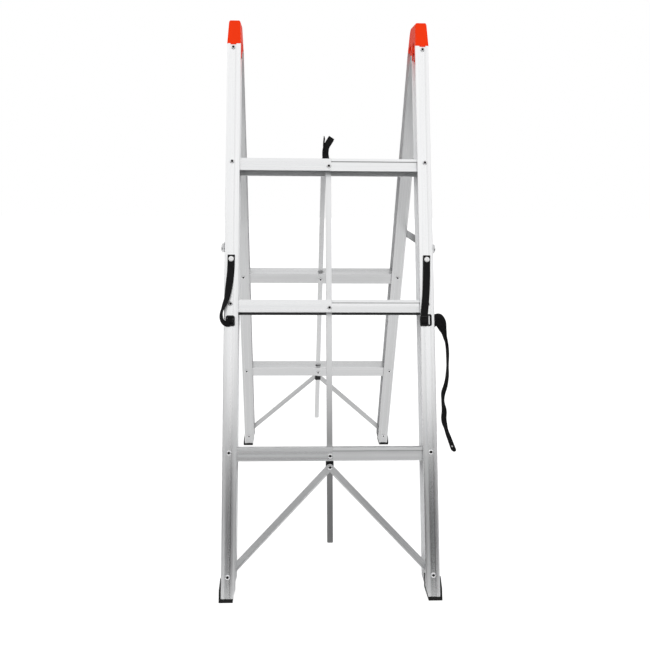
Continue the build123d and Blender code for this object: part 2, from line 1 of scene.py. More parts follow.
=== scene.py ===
# %% [markdown]
# A double-sided folding ladder: two aluminium sides hinged at the top by moulded caps, with split
# rungs that fold upward round a centre bar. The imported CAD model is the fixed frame. This lesson
# dresses it: softened metal edges, real rivet heads, woven straps, rubber boots and finishes.

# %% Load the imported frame
import bmesh
import bpy
import json
from math import cos, pi, radians, sin
from mathutils import Matrix, Vector


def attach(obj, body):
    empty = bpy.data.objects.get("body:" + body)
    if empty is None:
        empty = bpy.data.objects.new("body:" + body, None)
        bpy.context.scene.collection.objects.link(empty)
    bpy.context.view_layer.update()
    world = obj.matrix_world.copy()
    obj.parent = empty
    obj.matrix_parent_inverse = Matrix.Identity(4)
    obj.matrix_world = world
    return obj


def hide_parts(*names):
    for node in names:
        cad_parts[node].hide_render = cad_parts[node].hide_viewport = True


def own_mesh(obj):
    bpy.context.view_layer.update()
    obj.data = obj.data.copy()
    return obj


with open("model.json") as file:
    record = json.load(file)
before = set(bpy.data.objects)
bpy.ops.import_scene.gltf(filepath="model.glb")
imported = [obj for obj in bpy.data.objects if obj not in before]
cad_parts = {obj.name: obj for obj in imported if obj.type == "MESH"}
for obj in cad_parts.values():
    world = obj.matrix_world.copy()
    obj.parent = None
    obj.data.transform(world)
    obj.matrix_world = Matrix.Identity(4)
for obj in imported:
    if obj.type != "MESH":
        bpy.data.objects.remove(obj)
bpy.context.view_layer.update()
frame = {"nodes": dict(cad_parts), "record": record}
bodies_of = frame["record"]["behaviour"]["bodies"]
body_of = {node: body for body, nodes in bodies_of.items() for node in nodes}
slot_of = {row["node"]: row["material_slot"] for row in frame["record"]["subparts"]}

# %% [markdown]
# The photograph is taken from just left of the middle, a little above half the ladder's height,
# with the camera tipped down. Its place and lens come from a fit to the rivets in the photograph.

# %% Camera
VIEW_FROM = Vector((-0.0847, -1.6401, 0.8584))
VIEW_YAW = radians(1.889)
VIEW_PITCH = radians(11.737)
VIEW_ROLL = radians(0.481)
SENSOR = 36                    # millimetres
FOCAL_PIXELS = 693.27
FRAME_PIXELS = 650
LENS_AXIS = (311.36, 304.69)   # pixel that the lens points at


def linked(name, data):
    """New object at the origin, linked to the scene."""
    holder = bpy.data.objects.new(name, data)
    bpy.context.scene.collection.objects.link(holder)
    return holder


camera = linked("camera", bpy.data.cameras.new("camera"))
camera.data.sensor_width = SENSOR
camera.data.lens = SENSOR * FOCAL_PIXELS / FRAME_PIXELS
camera.data.shift_x = 0.5 - LENS_AXIS[0] / FRAME_PIXELS
camera.data.shift_y = LENS_AXIS[1] / FRAME_PIXELS - 0.5
ahead = Vector((sin(VIEW_YAW) * cos(VIEW_PITCH), cos(VIEW_YAW) * cos(VIEW_PITCH), -sin(VIEW_PITCH)))
level = Vector((cos(VIEW_YAW), -sin(VIEW_YAW), 0))
plumb = level.cross(ahead)
right = level * cos(VIEW_ROLL) + plumb * sin(VIEW_ROLL)
up = plumb * cos(VIEW_ROLL) - level * sin(VIEW_ROLL)
camera.matrix_world = Matrix.Translation(VIEW_FROM) @ Matrix((right, up, -ahead)).transposed().to_4x4()
bpy.context.scene.camera = camera
bpy.context.scene.view_settings.view_transform = "Standard"
print("lens", round(camera.data.lens, 2), "mm")

# %% [markdown]
# Each side of the ladder is drawn upright with the hinge axis at its origin and then leaned, so a
# place is easiest to say in that upright frame: x across, y back from the hinge plane, and the
# height along the climbing face from the floor. The rear side is the front one turned half round.

# %% The leaning frame of each side
LEAN = radians(18.2)
HINGE_HEIGHT = 1.1
FACE = -0.048             # climbing face of a rail, from the hinge plane
CLIMB = (HINGE_HEIGHT - FACE * sin(LEAN)) / cos(LEAN)
leaned = {"front": Matrix.Translation((0, 0, HINGE_HEIGHT)) @ Matrix.Rotation(-LEAN, 4, "X")}
leaned["rear"] = Matrix.Rotation(pi, 4, "Z") @ leaned["front"]


def place(side, x, y, height):
    """World point at x, y and a height along the climbing face of one side."""
    return leaned[side] @ Vector((x, y, height - CLIMB))


def heading(side, x, y, z):
    """World direction of an upright-frame direction of one side."""
    return leaned[side].to_3x3() @ Vector((x, y, z))


print("floor to hinge along the climbing face", round(CLIMB, 4))

# %% [markdown]
# Webbing is flat, so a strap is a thin rounded band that follows points read from a smooth curve. A
# curve with a bevel would make a round cord. A band built row by row may turn about its own length as
# it hangs: an angle of 0 shows its face to the climber, and 90 shows its edge.

# %% Pieces and smooth lines
LINE_STEPS = 12           # points read from a line for each of its knots


def new_piece(name, mesh):
    """Object from a bmesh, linked to the scene at the origin."""
    data = bpy.data.meshes.new(name)
    mesh.to_mesh(data)
    mesh.free()
    return linked(name, data)


def smooth_piece(name, mesh):
    """Object from a closed bmesh, with its faces turned outward and shaded smooth."""
    bmesh.ops.recalc_face_normals(mesh, faces=mesh.faces)
    for face in mesh.faces:
        face.smooth = True
    return new_piece(name, mesh)


def dress(piece, body, slot, *nodes):
    """Put a piece on the body it rides on and hide the nodes it stands for. The slot is not used."""
    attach(piece, body)
    if nodes:
        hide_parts(*nodes)
    return piece


def plain_mesh(holder):
    """Mesh of an object with its modifiers applied."""
    return bpy.data.meshes.new_from_object(holder.evaluated_get(bpy.context.evaluated_depsgraph_get()))


def smooth_line(points):
    """Points along a smooth curve that has the given control points."""
    line = bpy.data.curves.new("line", "CURVE")
    line.dimensions = "3D"
    spline = line.splines.new("NURBS")
    spline.points.add(len(points) - 1)
    for knot, point in zip(spline.points, points):
        knot.co = (*point, 1)
    spline.order_u = 3
    spline.use_endpoint_u = True
    spline.resolution_u = LINE_STEPS
    holder = linked("line", line)
    mesh = plain_mesh(holder)
    path = [v.co.copy() for v in mesh.vertices]
    bpy.data.objects.remove(holder)
    bpy.data.meshes.remove(mesh)
    return path


def reach_along(path):
    """Length walked along a path at each of its points."""
    reach = [0.0]
    for a, b in zip(path, path[1:]):
        reach.append(reach[-1] + (b - a).length)
    return reach


def length_of(path):
    """Whole length of a path."""
    return reach_along(path)[-1]


print("lines are read at", LINE_STEPS, "points a knot")

# %% Webbing bands
WEB_WIDTH = 0.015
WEB_THICK = 0.0014
TIP_SHARE = 0.96          # share of a round tip's depth that is drawn, so that its end stays open


def eased_turn(turns, share):
    """Angle of a band at a share of its length, eased between the listed (share, degrees)."""
    before = max((t for t in turns if t[0] <= share), key=lambda t: t[0])
    after = min((t for t in turns if t[0] >= share), key=lambda t: t[0])
    mix = 0 if after[0] == before[0] else (share - before[0]) / (after[0] - before[0])
    return radians(before[1] + (after[1] - before[1]) * mix * mix * (3 - 2 * mix))


def band_frame(path, reach, k, turns, toward):
    """Directions across the band and out of its face at one point of its path."""
    run = (path[min(k + 1, len(path) - 1)] - path[max(k - 1, 0)]).normalized()
    flat = run.cross(toward).normalized()
    turn = eased_turn(turns, reach[k] / reach[-1])
    across = flat * cos(turn) + run.cross(flat) * sin(turn)
    return across, run.cross(across)


def band(name, path, turns, toward, width=WEB_WIDTH, thick=WEB_THICK, tip=0):
    """Webbing along a path, whose face at an angle of 0 looks along toward, with a round tip."""
    reach = reach_along(path)
    half_w, half_t = width / 2, thick / 2
    ring = [(-half_w + half_t, half_t), (0, half_t), (half_w - half_t, half_t), (half_w, 0),
            (half_w - half_t, -half_t), (0, -half_t), (-half_w + half_t, -half_t), (-half_w, 0)]
    mesh = bmesh.new()
    weave = mesh.loops.layers.uv.new("weave")
    rows = []
    for k, point in enumerate(path):
        across, out = band_frame(path, reach, k, turns, toward)
        short = max(tip - (reach[-1] - reach[k]), 0)
        across *= 1 - (tip - (tip * tip - short * short * TIP_SHARE) ** 0.5) / half_w
        rows.append([mesh.verts.new(point + across * a + out * b) for a, b in ring])
    for k in range(len(rows) - 1):
        for j in range(len(ring)):
            i = (j + 1) % len(ring)
            spots = ((k, j), (k, i), (k + 1, i), (k + 1, j))
            face = mesh.faces.new([rows[row][edge] for row, edge in spots])
            face.smooth = True
            for loop, (row, edge) in zip(face.loops, spots):
                loop[weave].uv = (reach[row], ring[edge][0])
    mesh.faces.new(rows[0])
    mesh.faces.new(rows[-1])
    bmesh.ops.recalc_face_normals(mesh, faces=mesh.faces)
    return new_piece(name, mesh)


print("webbing", WEB_WIDTH, "m wide and", WEB_THICK, "m thick")

# %% [markdown]
# Two short ties are held to the climbing face by studs and end in buckles. The left one drifts
# outward, turns on edge past the rail and curls under its buckle. A third strap hangs loose from
# the right rail's outer face: it leaves the rail face on, turns on edge and dangles.

# %% Strap routes
LIE = 0.0027              # middle of a flat strap in front of the climbing face
TIE_ROUTES = {            # x, height, distance in front of the climbing face
    "left": [(-0.2055, 0.699, LIE), (-0.2055, 0.670, LIE), (-0.2085, 0.640, 0.0032),
             (-0.2132, 0.606, 0.0052), (-0.2200, 0.588, 0.0085), (-0.2248, 0.5745, 0.0090),
             (-0.2232, 0.5600, 0.0088), (-0.2150, 0.5525, 0.0080), (-0.2070, 0.5545, 0.0070)],
    "right": [(0.2055, 0.699, LIE), (0.2045, 0.664, LIE), (0.2030, 0.626, LIE), (0.2008, 0.600, LIE),
              (0.1970, 0.566, 0.0030)],
}
FLAT_ON = [(0, 0), (1, 0)]   # turns of a band that shows its face all along
TIE_TURNS = {"left": [(0, 0), (0.35, 4), (0.62, 40), (0.75, 63), (0.88, 56), (1, 36)], "right": FLAT_ON}
LOOSE_Y = -0.222
LOOSE_TIP = 0.006         # depth of the round end
LOOSE_ROUTE = [           # x, height above the floor
    (0.2198, 0.5335), (0.2285, 0.5405), (0.2370, 0.5340), (0.2425, 0.5195), (0.2450, 0.5030),
    (0.2500, 0.4850), (0.2535, 0.4650), (0.2548, 0.4390), (0.2560, 0.4100), (0.2535, 0.3860),
    (0.2480, 0.3690), (0.2485, 0.3500), (0.2535, 0.3300), (0.2520, 0.3075), (0.2610, 0.2800),
    (0.2710, 0.2555), (0.2795, 0.2340)]
LOOSE_TURNS = [(0, 5), (0.07, 16), (0.13, 56), (0.19, 74), (0.28, 77), (0.38, 85), (0.46, 76), (0.56, 67),
               (0.62, 77), (0.70, 54), (0.78, 48), (0.83, 64), (0.89, 54), (1, 46)]
FOLD_ROUTE = [(0.2200, 0.5215), (0.2285, 0.5260), (0.2365, 0.5170), (0.2415, 0.5045), (0.2470, 0.4885),
              (0.2515, 0.4740)]
FOLD_TURNS = [(0, 5), (0.3, 30), (0.65, 80), (1, 94)]
FRONT_BACK = heading("front", 0, 1, 0)
BACKWARD = Vector((0, 1, 0))

tie_paths = {word: smooth_line([place("front", x, FACE - out, h) for x, h, out in route])
             for word, route in TIE_ROUTES.items()}
ties = {word: band(f"{word}_tie", path, TIE_TURNS[word], FRONT_BACK) for word, path in tie_paths.items()}
loose_path = smooth_line([(x, LOOSE_Y, z) for x, z in LOOSE_ROUTE])
loose = band("loose_tail", loose_path, LOOSE_TURNS, BACKWARD, tip=LOOSE_TIP)
fold_path = smooth_line([(x, LOOSE_Y + 2 * WEB_THICK, z) for x, z in FOLD_ROUTE])
fold = band("loose_fold", fold_path, FOLD_TURNS, BACKWARD)
for word, strap in ties.items():
    dress(strap, f"front_{word}_rail", "webbing", f"{word}_tie_strap")
dress(loose, "front_right_rail", "webbing", "loose_strap")
dress(fold, "front_right_rail", "webbing")
print("straps", [round(length_of(path), 3) for path in (*tie_paths.values(), loose_path)])

# %% [markdown]
# Each tie ends in a moulded buckle: a block with two slots that the webbing threads. The copy of the
# CAD buckle is welded, drawn to the block's width and rounded. On the right side a narrow loop stands
# beside the block, bent from a round rod, so a closed curve with a bevel makes it.

# %% Buckle blocks
SHARP = radians(30)
FLAT = radians(1)
WELD = 0.00001
BUCKLE_WIDE = 0.024       # width of the CAD buckle
BUCKLE_EDGE = 0.0008
BLOCKS = {"left": (-0.210, -0.2060, 0.0185), "right": (0.201, 0.1970, 0.0165)}   # x in CAD, x here, width


def weld(mesh):
    """Join the loose triangles of a copied CAD mesh and make its flat faces whole."""
    bmesh.ops.remove_doubles(mesh, verts=mesh.verts, dist=WELD)
    bmesh.ops.dissolve_limit(mesh, angle_limit=FLAT, verts=mesh.verts, edges=mesh.edges)


def bevel(mesh, edges, width, segments):
    """Round some edges of a mesh."""
    bmesh.ops.bevel(mesh, geom=edges, offset=width, offset_type="OFFSET", segments=segments, profile=0.5,
                    affect="EDGES", clamp_overlap=True)


def rounded(mesh, width):
    """Weld a mesh and round its sharp edges."""
    weld(mesh)
    sharp = [e for e in mesh.edges if e.is_manifold and e.calc_face_angle() > SHARP]
    bevel(mesh, sharp, width, segments=2)
    for face in mesh.faces:
        face.smooth = True


def buckle_block(word):
    """Moulded block of one tie, drawn to its own width from the CAD buckle."""
    at, here, width = BLOCKS[word]
    mesh = bmesh.new()
    mesh.from_mesh(frame["nodes"][f"{word}_strap_buckle"].data)
    for vert in mesh.verts:
        vert.co.x = here + (vert.co.x - at) * width / BUCKLE_WIDE
    rounded(mesh, BUCKLE_EDGE)
    piece = new_piece(f"{word}_buckle_block", mesh)
    return dress(piece, f"front_{word}_rail", "buckle", f"{word}_strap_buckle")


blocks = {word: buckle_block(word) for word in BLOCKS}
print("blocks", [piece.name for piece in blocks.values()])

# %% Webbing in the blocks and the rod loop
BUCKLE_LEVEL = 0.560
THREAD_WIDTH = 0.0125
THREAD_STEPS = [          # height from the block's middle, distance in front of the climbing face
    (0.0115, 0.0012), (0.0070, 0.0020), (0.0030, 0.0062), (-0.0030, 0.0062), (-0.0070, 0.0020),
    (-0.0100, 0.0012)]
LOOP_AT = (0.2082, 0.5622)   # x, height
LOOP_SIZE = (0.0066, 0.0215)
LOOP_CORNER = 0.32 * LOOP_SIZE[0]
ROD_R = 0.0018
ROD_GAP = 0.0006          # rod to climbing face
ARC_STEPS = 4             # of each rounded corner
QUARTERS = ((1, 1), (-1, 1), (-1, -1), (1, -1))


def threaded(word):
    """Webbing that passes behind the block's rims and over its middle bar."""
    x = BLOCKS[word][1]
    path = smooth_line([place("front", x, FACE - out, BUCKLE_LEVEL + rise) for rise, out in THREAD_STEPS])
    strap = band(f"{word}_buckle_web", path, FLAT_ON, FRONT_BACK, THREAD_WIDTH)
    return dress(strap, f"front_{word}_rail", "webbing")


def rod_loop(name):
    """Rounded rectangular loop of round rod that lies in front of the climbing face."""
    line = bpy.data.curves.new(name, "CURVE")
    line.dimensions = "3D"
    line.bevel_depth = ROD_R
    line.bevel_resolution = 3
    spots = []
    for k, signs in enumerate(QUARTERS):
        for angle in [pi / 2 * (k + step / ARC_STEPS) for step in range(ARC_STEPS + 1)]:
            spots.append([middle + (sign * (size / 2 - LOOP_CORNER) + LOOP_CORNER * swing(angle))
                          for middle, sign, size, swing in zip(LOOP_AT, signs, LOOP_SIZE, (cos, sin))])
    spline = line.splines.new("POLY")
    spline.points.add(len(spots) - 1)
    for knot, (x, height) in zip(spline.points, spots):
        knot.co = (*place("front", x, FACE - ROD_R - ROD_GAP, height), 1)
    spline.use_cyclic_u = True
    holder = linked(name, line)
    mesh = bmesh.new()
    mesh.from_mesh(plain_mesh(holder))
    bpy.data.objects.remove(holder)
    return smooth_piece(name, mesh)


threads = {word: threaded(word) for word in BLOCKS}
loop = dress(rod_loop("right_buckle_loop"), "front_right_rail", "buckle")
print("threaded", len(threads), "blocks, with", loop.name)

# %% [markdown]
# The bare end of the loose strap has a small pale eyelet, which keeps the weave from fraying. It is
# a turned shape, as the rivets and studs will be, so one helper turns a profile about an axis. The
# eyelet is set square to the band's face, a little way back from the end.

# %% Strap eyelet
EYELET_PROFILE = [(0, -0.0011), (0.0016, -0.0011), (0.0021, -0.0006), (0.0021, 0.0006), (0.0016, 0.0011),
                  (0, 0.0011)]
EYELET_BACK = 0.012       # from the strap's end


def lathe(name, profile, sides):
    """Closed turned shape about Z from (radius, height) points that start and end on the axis."""
    mesh = bmesh.new()
    rings = []
    for radius, height in profile:
        angles = [2 * pi * k / sides for k in range(sides if radius else 1)]
        rings.append([mesh.verts.new((radius * cos(a), radius * sin(a), height)) for a in angles])
    for low, high in zip(rings, rings[1:]):
        for k in range(sides):
            i = (k + 1) % sides
            corners = [low[k % len(low)], low[i % len(low)], high[i % len(high)], high[k % len(high)]]
            mesh.faces.new(list(dict.fromkeys(corners)))
    return smooth_piece(name, mesh)


def stand(piece, point, out):
    """Stand a turned shape on a point with its axis along out."""
    piece.data.transform(Matrix.Translation(point) @ out.to_track_quat("Z", "Y").to_matrix().to_4x4())


loose_reach = reach_along(loose_path)
at = min(range(len(loose_path)), key=lambda k: abs(loose_reach[-1] - EYELET_BACK - loose_reach[k]))
eyelet = lathe("loose_strap_eyelet", EYELET_PROFILE, sides=24)
stand(eyelet, loose_path[at], band_frame(loose_path, loose_reach, at, LOOSE_TURNS, BACKWARD)[1])
dress(eyelet, "front_right_rail", slot_of["right_strap_stud"])
print("eyelet", round(loose_reach[-1] - loose_reach[at], 4), "m from the end")

# %% [markdown]
# The ties end in their buckles, and the loose strap ends bare, as it does in the photograph.

# %% Strap ends
print("the ties end in their buckles, and the loose strap ends bare")

# %% [markdown]
# Materials and Geometry Nodes are both trees of nodes. Two helpers write them: one feeds the inputs
# of a node, each with a link or a plain value, and one makes a node with its settings and feeds it.
# A tree then reads from its first node to its last.

# %% Node helpers
def feed(tree, node, feeds):
    """Link or set inputs of a node by name or number."""
    for key, value in feeds.items():
        if isinstance(value, bpy.types.NodeSocket):
            tree.links.new(value, node.inputs[key])
        else:
            node.inputs[key].default_value = value
    return node


def add(tree, kind, feeds, **settings):
    """New node of a tree with its settings, fed."""
    node = tree.nodes.new(kind)
    for key, value in settings.items():
        setattr(node, key, value)
    return feed(tree, node, feeds)


def reckon(tree, operation, *values):
    """Result of a Math node."""
    return add(tree, "ShaderNodeMath", dict(enumerate(values)), operation=operation).outputs[0]


def new_group(name, takes, gives, kind="ShaderNodeTree"):
    """Node group with named sockets, the values that it is given and the node where it ends."""
    group = bpy.data.node_groups.new(name, kind)
    for way, sockets in (("INPUT", takes), ("OUTPUT", gives)):
        for label, what in sockets.items():
            group.interface.new_socket(label, in_out=way, socket_type=f"NodeSocket{what}")
    return group, group.nodes.new("NodeGroupInput").outputs, group.nodes.new("NodeGroupOutput")


def new_finish(name, levels):
    """Material, its tree and its shader, whose plain sockets are set."""
    finish = bpy.data.materials.new(name)
    finish.use_nodes = True
    tree = finish.node_tree
    return finish, tree, feed(tree, tree.nodes["Principled BSDF"], levels)


def tinted(tree, factor, dark, light):
    """Colour that a factor mixes from two tones."""
    tones = {"Factor": factor, "A": (*dark, 1), "B": (*light, 1)}
    return add(tree, "ShaderNodeMix", tones, data_type="RGBA").outputs["Result"]


def spread(tree, value, ends):
    """Value carried from one range to another, with the ends that differ from 0 and 1."""
    return add(tree, "ShaderNodeMapRange", {"Value": value, **ends}).outputs["Result"]


def bumped(tree, height, strength, depth):
    """Normal that is bumped by a height."""
    feeds = {"Height": height, "Strength": strength, "Distance": depth}
    return add(tree, "ShaderNodeBump", feeds).outputs["Normal"]


print("node helpers ready")

# %% [markdown]
# The background is white in the photograph. The world is plain white. The floor shows as white to the
# camera and in reflections, and keeps a diffuse share, so that the feet still cast a soft shadow. A
# low dark cloth hangs round the set and runs a little way in along the floor. It is what the lower
# half of the metal mirrors, which is why aluminium turns grey towards the floor. The lamps only
# light the ladder: the metal mirrors the room, not them.

# %% World and floor
FLOOR_GLOW = 0.85
FLOOR_GREY = (0.3, 0.3, 0.3, 1)
REACH = 9.0


def seen_mask(tree):
    """1 for camera, glossy and transmission rays, else 0."""
    rays = add(tree, "ShaderNodeLightPath", {}).outputs
    seen = reckon(tree, "MAXIMUM", rays["Is Camera Ray"], rays["Is Glossy Ray"])
    return reckon(tree, "MAXIMUM", seen, rays["Is Transmission Ray"])


def sheet(name, corners, finish):
    """Flat four-cornered sheet of the stage."""
    mesh = bmesh.new()
    mesh.faces.new([mesh.verts.new(c) for c in corners])
    piece = new_piece(name, mesh)
    piece.data.materials.append(finish)
    return piece


world = bpy.data.worlds.new("studio")
bpy.context.scene.world = world
world.use_nodes = True
world.node_tree.nodes["Background"].inputs["Color"].default_value = (1, 1, 1, 1)

floor_finish, tree = new_finish("studio floor", {})[:2]
tree.nodes.clear()
matt = add(tree, "ShaderNodeBsdfDiffuse", {"Color": FLOOR_GREY})
glow = add(tree, "ShaderNodeEmission", {"Strength": reckon(tree, "MULTIPLY", seen_mask(tree), FLOOR_GLOW)})
both = add(tree, "ShaderNodeAddShader", {0: matt.outputs[0], 1: glow.outputs[0]})
add(tree, "ShaderNodeOutputMaterial", {"Surface": both.outputs[0]})
sheet("floor", [(REACH * x, REACH * y, 0) for x, y in ((-1, -1), (1, -1), (1, 1), (-1, 1))], floor_finish)
print("floor", 2 * REACH, "m wide")

# %% Cloth and lamps
CLOTH_FAR = 3.4
CLOTH_NEAR = 1.3
CLOTH_TOP = 1.02
CLOTH_LOW = 0.004
CLOTH_DARK = (0.05, 0.05, 0.052, 1)
LIT_POINT = Vector((0, 0, 0.6))
cloth_finish = new_finish("dark studio cloth", {"Base Color": CLOTH_DARK, "Roughness": 1})[0]
foot = [(-CLOTH_FAR, -CLOTH_FAR, CLOTH_LOW), (CLOTH_FAR, -CLOTH_FAR, CLOTH_LOW)]
hung = [*foot, (CLOTH_FAR, -CLOTH_FAR, CLOTH_TOP), (-CLOTH_FAR, -CLOTH_FAR, CLOTH_TOP)]
laid = [*foot, (CLOTH_NEAR, -CLOTH_NEAR, CLOTH_LOW), (-CLOTH_NEAR, -CLOTH_NEAR, CLOTH_LOW)]
for k in range(4):
    turn = Matrix.Rotation(k * pi / 2, 3, "Z")
    for name, corners in (("hung_cloth", hung), ("laid_cloth", laid)):
        cloth = sheet(f"{name}_{k}", [turn @ Vector(corner) for corner in corners], cloth_finish)
        cloth.visible_camera = False
        cloth.visible_diffuse = False
        cloth.visible_shadow = False


def soft_box(name, at, size, watts):
    """Rectangular lamp that looks at the ladder."""
    lamp = bpy.data.lights.new(name, "AREA")
    lamp.shape = "RECTANGLE"
    lamp.size, lamp.size_y = size
    lamp.energy = watts
    holder = linked(name, lamp)
    holder.visible_glossy = False
    holder.location = at
    holder.rotation_euler = (LIT_POINT - Vector(at)).to_track_quat("-Z", "Y").to_euler()


soft_box("key", at=(-0.3, -2.6, 3.0), size=(3.0, 1.6), watts=16)
soft_box("fill", at=(1.9, -1.2, 1.9), size=(1.2, 1.2), watts=7)
print("stage set")

# %% [markdown]
# Aluminium sections are pushed through a die, which leaves fine lines along their length. A picture of
# brushed metal would repeat and need a map on every face, so the lines are one shader group: a noise
# stretched along the piece, which each section turns its own way.

# %% Drawn metal
LINE_PITCH = 0.0012       # spacing of the die lines
LINE_RUN = 0.3            # length over which a line fades
LINE_BUMP = 0.12
LINE_DEPTH = 0.0001
NOISES = (("Lines", 1.0, 4.0), ("Blotches", 0.03, 2.0))   # output, scale, detail
NOISE_SPAN = {"From Min": 0.3, "From Max": 0.7}           # where most of the noise lies
BLOTCH_RUB = {"To Min": -0.05, "To Max": 0.06}            # how far blotches change the roughness


def drawn_lines():
    """Group: fine lengthwise lines and slow blotches from a stretched vector."""
    gives = {"Lines": "Float", "Blotches": "Float"}
    group, given, leave = new_group("drawn lines", {"Vector": "Vector"}, gives)
    for label, scale, detail in NOISES:
        feeds = {"Vector": given["Vector"], "Scale": scale, "Detail": detail}
        noise = add(group, "ShaderNodeTexNoise", feeds).outputs["Fac"]
        feed(group, leave, {label: spread(group, noise, NOISE_SPAN)})
    return group


LINES = drawn_lines()


def metal(name, turn, light, dark, rough, run="Z", bands=None, metallic=1):
    """Satin drawn aluminium whose lines follow one axis of the turned piece."""
    finish, tree, shader = new_finish(name, {"Metallic": metallic})
    spot = add(tree, "ShaderNodeTexCoord", {}).outputs["Object"]
    stretch = [LINE_RUN if axis == run else LINE_PITCH for axis in "XYZ"]
    turned = add(tree, "ShaderNodeMapping", {"Vector": spot, "Rotation": turn, "Scale": stretch},
                 vector_type="TEXTURE")
    lines = add(tree, "ShaderNodeGroup", {"Vector": turned.outputs["Vector"]}, node_tree=LINES).outputs
    colour = tinted(tree, lines["Lines"], dark, light)
    # Bands multiply a painted shade into the colour and set the roughness.
    if bands:
        told = add(tree, "ShaderNodeGroup", {"Vector": spot}, node_tree=bands).outputs
        shaded = add(tree, "ShaderNodeMix", {"Factor": 1, "A": colour, "B": told["Shade"]},
                     data_type="RGBA", blend_type="MULTIPLY")
        colour, rough = shaded.outputs["Result"], told["Rough"]
    rub = spread(tree, lines["Blotches"], BLOTCH_RUB)
    feed(tree, shader, {"Base Color": colour, "Roughness": reckon(tree, "ADD", rub, rough),
                        "Normal": bumped(tree, lines["Lines"], LINE_BUMP, LINE_DEPTH)})
    return finish


print("drawn lines every", LINE_PITCH, "m")

# %% [markdown]
# A drawn section is not one flat tone. The die polishes some strips and drags on others, which sets
# their roughness. The tone of the bands is painted shade: painted shadow under the nosing and on the
# groove wall of the rivet line, faint darker lines across the faces, and darker parts lower down on
# the bar, the backs of the rails and the insides of the rungs. Each section has such bands at fixed
# distances, so a group turns a distance over the piece into a painted shade and a roughness. The
# distance is measured in three ways: beside the rivet line, below a tread, and up the ladder.

# %% Bands of the sections
PIVOT_X = 0.206           # rivet line of a rail
FIRST_RUNG = 0.2915       # floor to the lowest rung rivet, along the climbing face
RUNG_PITCH = 0.3048
TREAD_UP = 0.009          # rung rivet to the top of its tread


def beside_rivets(group, at):
    """Distance to the climber's right of the rail's rivet line."""
    line = reckon(group, "MULTIPLY", reckon(group, "SIGN", at["X"]), PIVOT_X)
    return reckon(group, "SUBTRACT", at["X"], line)


def up_the_ladder(group, at):
    """Height along the climbing face, the same for both sides because they lean alike."""
    back = reckon(group, "MULTIPLY", reckon(group, "ABSOLUTE", at["Y"]), sin(LEAN))
    rise = reckon(group, "MULTIPLY", at["Z"], cos(LEAN))
    return reckon(group, "ADD", reckon(group, "SUBTRACT", rise, back), CLIMB - HINGE_HEIGHT * cos(LEAN))


def below_tread(group, at):
    """Distance below the top of the rung that a point belongs to."""
    drop = reckon(group, "SUBTRACT", FIRST_RUNG + TREAD_UP, up_the_ladder(group, at))
    return reckon(group, "FLOORED_MODULO", drop, RUNG_PITCH)


def band_group(name, measure, stops):
    """Group: painted shade and roughness from a distance, at the listed (distance, shade, roughness)."""
    group, given, leave = new_group(name, {"Vector": "Vector"}, {"Shade": "Color", "Rough": "Float"})
    at = add(group, "ShaderNodeSeparateXYZ", {"Vector": given["Vector"]}).outputs
    low, high = stops[0][0], stops[-1][0]
    share = spread(group, measure(group, at), {"From Min": low, "From Max": high})
    for column, label in enumerate(("Shade", "Rough"), 1):
        ramp = add(group, "ShaderNodeValToRGB", {"Fac": share})
        knots = ramp.color_ramp.elements
        for k, stop in enumerate(stops):
            where = (stop[0] - low) / (high - low)
            knot = knots[0] if k == 0 else knots[-1] if k == len(stops) - 1 else knots.new(where)
            knot.position = where
            knot.color = (*[stop[column]] * 3, 1)
        feed(group, leave, {label: ramp.outputs["Color"]})
    return group


# Painted shade: a dark line on the groove wall beside the rivet line and darker flange edges; the roughness
# column is the die's polish.
RAIL_SHADE_BANDS = band_group("rail painted shade bands", beside_rivets, [
    (-0.0160, 0.90, 0.30), (-0.0130, 1.0, 0.33), (-0.0082, 1.0, 0.40), (-0.0064, 0.98, 0.33),
    (-0.0045, 0.97, 0.28), (0.0032, 0.96, 0.27), (0.0048, 0.84, 0.21), (0.0064, 0.95, 0.26),
    (0.0095, 0.97, 0.29), (0.0122, 1.0, 0.38), (0.0150, 0.95, 0.30), (0.0160, 0.90, 0.30)])
# Painted shade: faint darker lines across the outer half rung's face.
OUTER_SHADE_BANDS = band_group("outer rung painted shade bands", below_tread, [
    (0, 0.97, 0.30), (0.0030, 1.0, 0.32), (0.0100, 0.93, 0.20), (0.0155, 1.0, 0.38), (0.0220, 0.94, 0.22),
    (0.0252, 1.0, 0.36), (0.0265, 1.0, 0.36)])
# Painted shadow under the inner half's nosing, with faint painted shade lines below it.
INNER_SHADE_BANDS = band_group("inner rung painted shade bands", below_tread, [
    (0, 1.0, 0.40), (0.0054, 1.0, 0.38), (0.0060, 0.55, 0.35), (0.0072, 0.55, 0.35), (0.0080, 0.95, 0.30),
    (0.0115, 0.97, 0.30), (0.0160, 1.0, 0.45), (0.0220, 0.95, 0.32), (0.0252, 1.0, 0.42),
    (0.0265, 1.0, 0.42)])
# Painted shade: the bar darker lower down.
BAR_SHADE_BANDS = band_group("bar painted shade bands", up_the_ladder, [
    (0.10, 0.50, 0.31), (0.27, 0.52, 0.31), (0.34, 0.64, 0.33), (0.46, 0.90, 0.35), (0.95, 1.0, 0.36)])
# Painted shade on the backs of the rails: darker lower down and again at the top.
BACK_SHADE_BANDS = band_group("rail back painted shade bands", up_the_ladder, [
    (0.10, 0.57, 0.34), (0.27, 0.58, 0.34), (0.65, 0.64, 0.34), (0.86, 0.65, 0.34), (0.95, 0.79, 0.34),
    (1.04, 0.80, 0.34), (1.12, 0.68, 0.34)])
